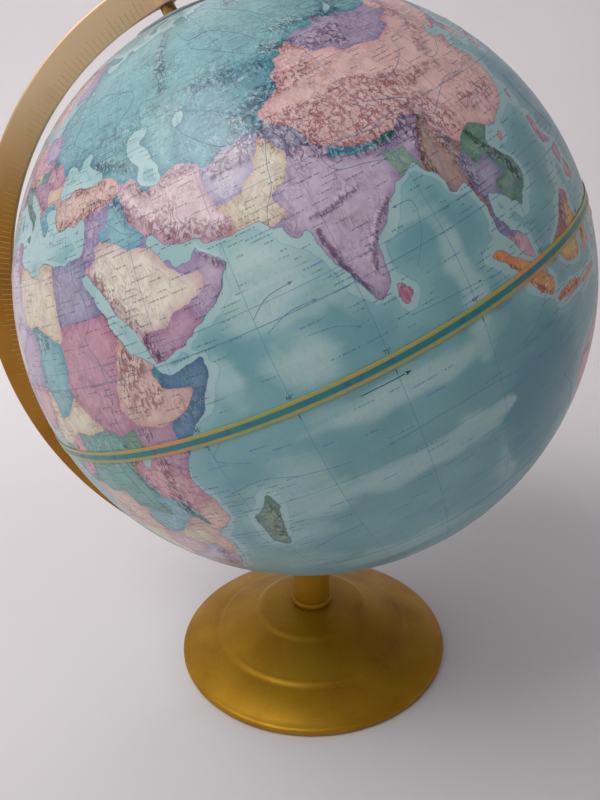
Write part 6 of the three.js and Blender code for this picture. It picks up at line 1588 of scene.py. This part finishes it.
def add_post():
    """The tube, and the half-round ring at its foot."""
    radius, bottom, top = base_size("post")
    wall = 1.5
    bore = radius - wall
    tube_profile = rounded([(bore, bottom), (radius, bottom), (radius, top), (bore, top)], 0.15)
    add_piece("post_tube", lathe(tube_profile, 128), UPRIGHT, "stand", "gold_paint", "post")
    outer, bottom, top = base_size("post_foot_ring")
    inner, middle, half = radius + 0.1, (bottom + top) / 2, (top - bottom) / 2
    ring = [(inner + (outer - inner) * x, middle + half * z) for x, z in arc(1, -90, 90, 16)]
    add_piece("post_ring", lathe(ring, 128), UPRIGHT, "stand", "gold_paint", "post_foot_ring")


ARM_INNER = BALL_RADIUS + 6.35
ARM_OUTER = ARM_INNER + 16.25
ARM_HALF = 2.0
BOSS_FACE = ARM_OUTER + 1
BOSS_RADIUS = 6


def around(turn, points):
    """(distance from the ball's centre, side) points, turned to an angle from the north pole in degrees."""
    distance, side = np.array(points).T
    angle = math.radians(turn)
    return np.stack([-distance * math.sin(angle), side, distance * math.cos(angle)], axis=1)


def arm_foot():
    """The spigot in the post, the flange on its top and the column up into the half ring."""
    post, _, post_top = base_size("post")
    seat, hole, hole_top = post_top + REST_GAP, BOLT_HOLE, post_top + 9.3
    spigot, column, into_ring = post - 1.8, post - 3.7, 4.06
    top = ball_centre.z / MM - ARM_INNER - into_ring
    flange = [(hole, seat - 6), (spigot, seat - 6), (spigot, seat), (post, seat), (post, seat + 1.7),
              (post - 1, seat + 2.7), (column + 1, seat + 3.7)]
    up = [(column, seat + 4.7), (column, top - 1), (column - 1, top), (0, top), (0, hole_top),
          (hole, hole_top)]
    return lathe(rounded(flange + up, 0.5), 96)


def add_arm():
    """The half ring with its rounded edges, a boss at each pole, and the foot."""
    bevel = 0.8
    half = [(ARM_INNER, -ARM_HALF), (ARM_OUTER - bevel, -ARM_HALF), (ARM_OUTER, -ARM_HALF + bevel)]
    section = rounded(half + [(distance, -side) for distance, side in half[::-1]], 0.5)
    ring = tube([around(turn, section) for turn in np.linspace(1.2, 178.8, 361)])
    boss = lathe(rounded([(BORE_RADIUS, ARM_INNER), (BOSS_RADIUS, ARM_INNER), (BOSS_RADIUS, BOSS_FACE),
                          (BORE_RADIUS, BOSS_FACE)], 0.5), 72)
    upright = moved(arm_foot(), (Matrix.Scale(1 / MM, 4) @ TILTED.inverted() @ Matrix.Scale(MM, 4)))
    shapes = [facing_out(shape) for shape in (ring, boss, moved(boss, SOUTHWARD), upright)]
    add_piece("arm", joined(shapes), TILTED, "stand", "gold_paint", "meridian_arm", material=ARM_PAINT)


def add_arm_marks():
    """Raised degree marks on both faces of the arm, longer at every fifth and tenth degree."""
    bars = []
    for degree in range(4, 177):
        length = 8.6 if degree % 10 == 0 else 7.2 if degree % 5 == 0 else 5.6
        for face in (-1, 1):
            inner, outer = ARM_INNER + 0.7, ARM_INNER + 0.7 + length
            low, high = face * (ARM_HALF - 0.1), face * (ARM_HALF + 0.09)
            rings = []
            for distance, half_width in ((inner, 0.14), (outer, 0.11)):
                aside = math.degrees(half_width / distance)
                ends = [(distance, low), (distance, high)]
                sides = around(degree - aside, ends), around(degree + aside, ends[::-1])
                rings.append(np.concatenate(sides))
            bars.append(facing_out(tube(rings)))
    add_piece("arm_degree_marks", joined(bars), TILTED, "stand", "gold_paint", material=ARM_MARKS)


# ---- Axle hardware and the time dial ----

DIAL_FACE = FLANGE_TOP + REST_GAP
DIAL_THICKNESS = 0.6
HOURS = 24


def add_ring(name, outer, bottom, top, slot, node, turn=UPRIGHT):
    """A collar or washer round the axle, its ends measured from the ball's centre."""
    profile = rounded([(BORE_RADIUS, bottom), (outer, bottom), (outer, top), (BORE_RADIUS, top)], 0.25)
    add_piece(name, moved(lathe(profile, 72), turn), TILTED, "stand", slot, node)


def add_hardware():
    """The collars and washers, the domed nut on top, the hex nut below and the axle with its thread."""
    collar, collar_end = 3.7, ARM_INNER - REST_GAP
    washer, washer_face = 5.6, BOSS_FACE + REST_GAP
    washer_back = washer_face + 0.8
    nut = washer_back + REST_GAP
    above_dial = DIAL_FACE + DIAL_THICKNESS + REST_GAP
    add_ring("dial_collar", collar, above_dial, collar_end, "brass", "north_collar")
    add_ring("lower_collar", collar, DIAL_FACE, collar_end, "brass", "south_collar", SOUTHWARD)
    add_ring("top_washer", washer, washer_face, washer_back, "brass", "north_washer")
    add_ring("lower_washer", washer, washer_face, washer_back, "zinc_plate", "south_washer", SOUTHWARD)
    crown, bore_end, shoulder, width = nut + 9.3, nut + 6.3, nut + 5.115, 7
    dome = [(width * x, shoulder + (crown - shoulder) * z) for x, z in arc(1, 0, 90, 14)][:-1]
    cap = [(BORE_RADIUS, nut), (width - 0.4, nut), (width, nut + 0.4), *dome, (0, crown), (0, bore_end),
           (BORE_RADIUS, bore_end)]
    add_piece("cap_nut", lathe(cap, 96), TILTED, "stand", "brass", "north_nut")
    flats, height, chamfer = 9, 3.6, 0.45
    corner = flats / math.sqrt(3)
    end = nut + height
    hexagon = [(BORE_RADIUS, nut), (flats / 2 - 0.05, nut), (corner, nut + chamfer),
               (corner, end - chamfer), (flats / 2 - 0.05, end), (BORE_RADIUS, end)]
    shape = moved(lathe(hexagon, 96, flats), SOUTHWARD)
    add_piece("hex_nut", shape, TILTED, "stand", "zinc_plate", "south_nut")
    thread, pitch, tail = 2.4, 0.7, end + 1.4
    axle = [(0, tail), (thread - 0.5, tail), (thread, tail - 0.5)]
    for turn in range(1, 14):
        depth = tail - 0.5 - turn * pitch
        axle += [(thread, depth + 0.45), (thread - 0.3, depth + 0.25), (thread, depth)]
    axle += [(thread, -nut - 5.6), (thread - 0.4, -nut - 6), (0, -nut - 6)]
    add_piece("axle", moved(lathe(axle, 48), SOUTHWARD), TILTED, "stand", "zinc_plate", "axle_rod")


def add_dial():
    """The dished time dial with its edge turned down, and plain hour numbers twice round."""
    hub = FLANGE_RADIUS + 0.5
    rim = math.sqrt(BALL_RADIUS**2 - DIAL_RADIUS**2) + 0.6  # just clear of the ball
    profile = rounded([(BORE_RADIUS, DIAL_FACE), (hub, DIAL_FACE), (DIAL_RADIUS - 1, rim + 0.1),
                       (DIAL_RADIUS - 0.6, rim - 0.35), (DIAL_RADIUS, rim - 0.35),
                       (DIAL_RADIUS, rim + DIAL_THICKNESS), (hub, DIAL_FACE + DIAL_THICKNESS),
                       (BORE_RADIUS, DIAL_FACE + DIAL_THICKNESS)], 0.1)
    add_piece("hour_dial", lathe(profile, 144), TILTED, "dial", "dial", "time_dial")
    slope = math.atan2(DIAL_FACE - rim, DIAL_RADIUS - hub)
    middle = 14.6
    height = DIAL_FACE + DIAL_THICKNESS - (middle - hub) * math.tan(slope)
    numbers = []
    for hour in range(HOURS):
        turn = Matrix.Rotation(math.radians(-360 / HOURS * hour), 4, "Z")
        lean = Matrix.Translation((0, middle, height)) @ Matrix.Rotation(-slope, 4, "X")
        numbers.append(moved(figures(str((hour - 1) % 12 + 1), 2), turn @ lean))
    add_piece("hour_numbers", joined(numbers), TILTED, "dial", "dial", material=WHITE_INK)


for half, side in (("north", 1), ("south", -1)):
    add_hemisphere(half, side)
add_tape()
add_bushings()
add_map_figures()
add_map_lines()
add_base()
add_post()
add_arm()
add_arm_marks()
add_hardware()
add_dial()

# The CAD nodes that stay as they are, and their finishes.
KEPT_NODES = {
    "felt_pad": "felt", "bottom_board": "board", "joint_ring": "board", "bearing_plate": "zinc_plate",
    "stem_flat_washer": "zinc_plate", "stem_lock_washer": "zinc_plate", "stem_bolt": "zinc_plate",
    "north_retainer": "zinc_plate", "south_retainer": "zinc_plate",
}
for node, finish in KEPT_NODES.items():
    materials = frame["nodes"][node].data.materials
    materials.clear()
    materials.append(FINISHES[finish])


# ---- Stage and light ----

def add_floor():
    """A pale floor that curves up far beyond the object on every side."""
    flat, bend, top = 1400, 1200, 2400
    turns = [math.radians(angle) for angle in range(6, 91, 6)]
    slope = [(flat + bend * math.sin(turn), bend * (1 - math.cos(turn))) for turn in turns]
    points, faces = lathe([(0, 0), (300, 0), (flat, 0), *slope, (flat + bend, top)], closed=False)
    floor = make("floor", (points, [face[::-1] for face in faces]))
    shade = Shade("floor_paint", Roughness=0.7)
    where = shade.place()
    cloudy = shade.step(shade.noise(where, 0.004, 3.0), 0.3, 0.7)
    shade.set(Base_Color=shade.mix(cloudy, colour_of(227, 222, 224), colour_of(224, 219, 221)))
    floor.data.materials.append(shade.material)


def add_lamp(name, place, towards, size, power, colour=(1, 1, 1)):
    """A soft square lamp. Places and size are in millimetres, power in watts."""
    light = bpy.data.lights.new(name, "AREA")
    light.size = size * MM
    light.energy = power
    light.color = colour
    holder = bpy.data.objects.new(name, light)
    bpy.context.scene.collection.objects.link(holder)
    holder.location = Vector(place) * MM
    holder.rotation_euler = (Vector(towards) * MM - holder.location).to_track_quat("-Z", "Y").to_euler()
    holder.visible_camera = False


def add_light():
    """A weak pale sky, a window high on the left, a ceiling lamp, a pale wall behind and the room in front.

    The backdrop's lamps light the floor's far edge, most of all behind.
    """
    world = bpy.data.worlds.new("studio")
    bpy.context.scene.world = world
    world.use_nodes = True
    background = world.node_tree.nodes["Background"]
    background.inputs["Color"].default_value = (0.97, 0.95, 1.0, 1)
    background.inputs["Strength"].default_value = 0.03
    add_lamp("window", (-850, -340, 1450), (0, 0, 200), 1000, 12, (1.0, 0.98, 0.96))
    add_lamp("ceiling", (-457, -565, 1313), (0, 0, 235), 300, 0.8)
    add_lamp("pale_wall", (-724, 1204, 1795), (0, 0, 235), 1400, 3.4)
    add_lamp("room", (-500, -1000, 1400), (0, 0, 200), 800, 4)
    for bearing, power in ((60, 5), (100, 10), (140, 8.5), (200, 2), (270, 1.5), (340, 1.2)):
        turn = math.radians(bearing)
        x, y = math.cos(turn), math.sin(turn)
        add_lamp(f"backdrop_{bearing}", (900 * x, 900 * y, 1500), (2400 * x, 2400 * y, 300), 900, power)
    bpy.context.scene.view_settings.view_transform = "Standard"


add_floor()
add_light()
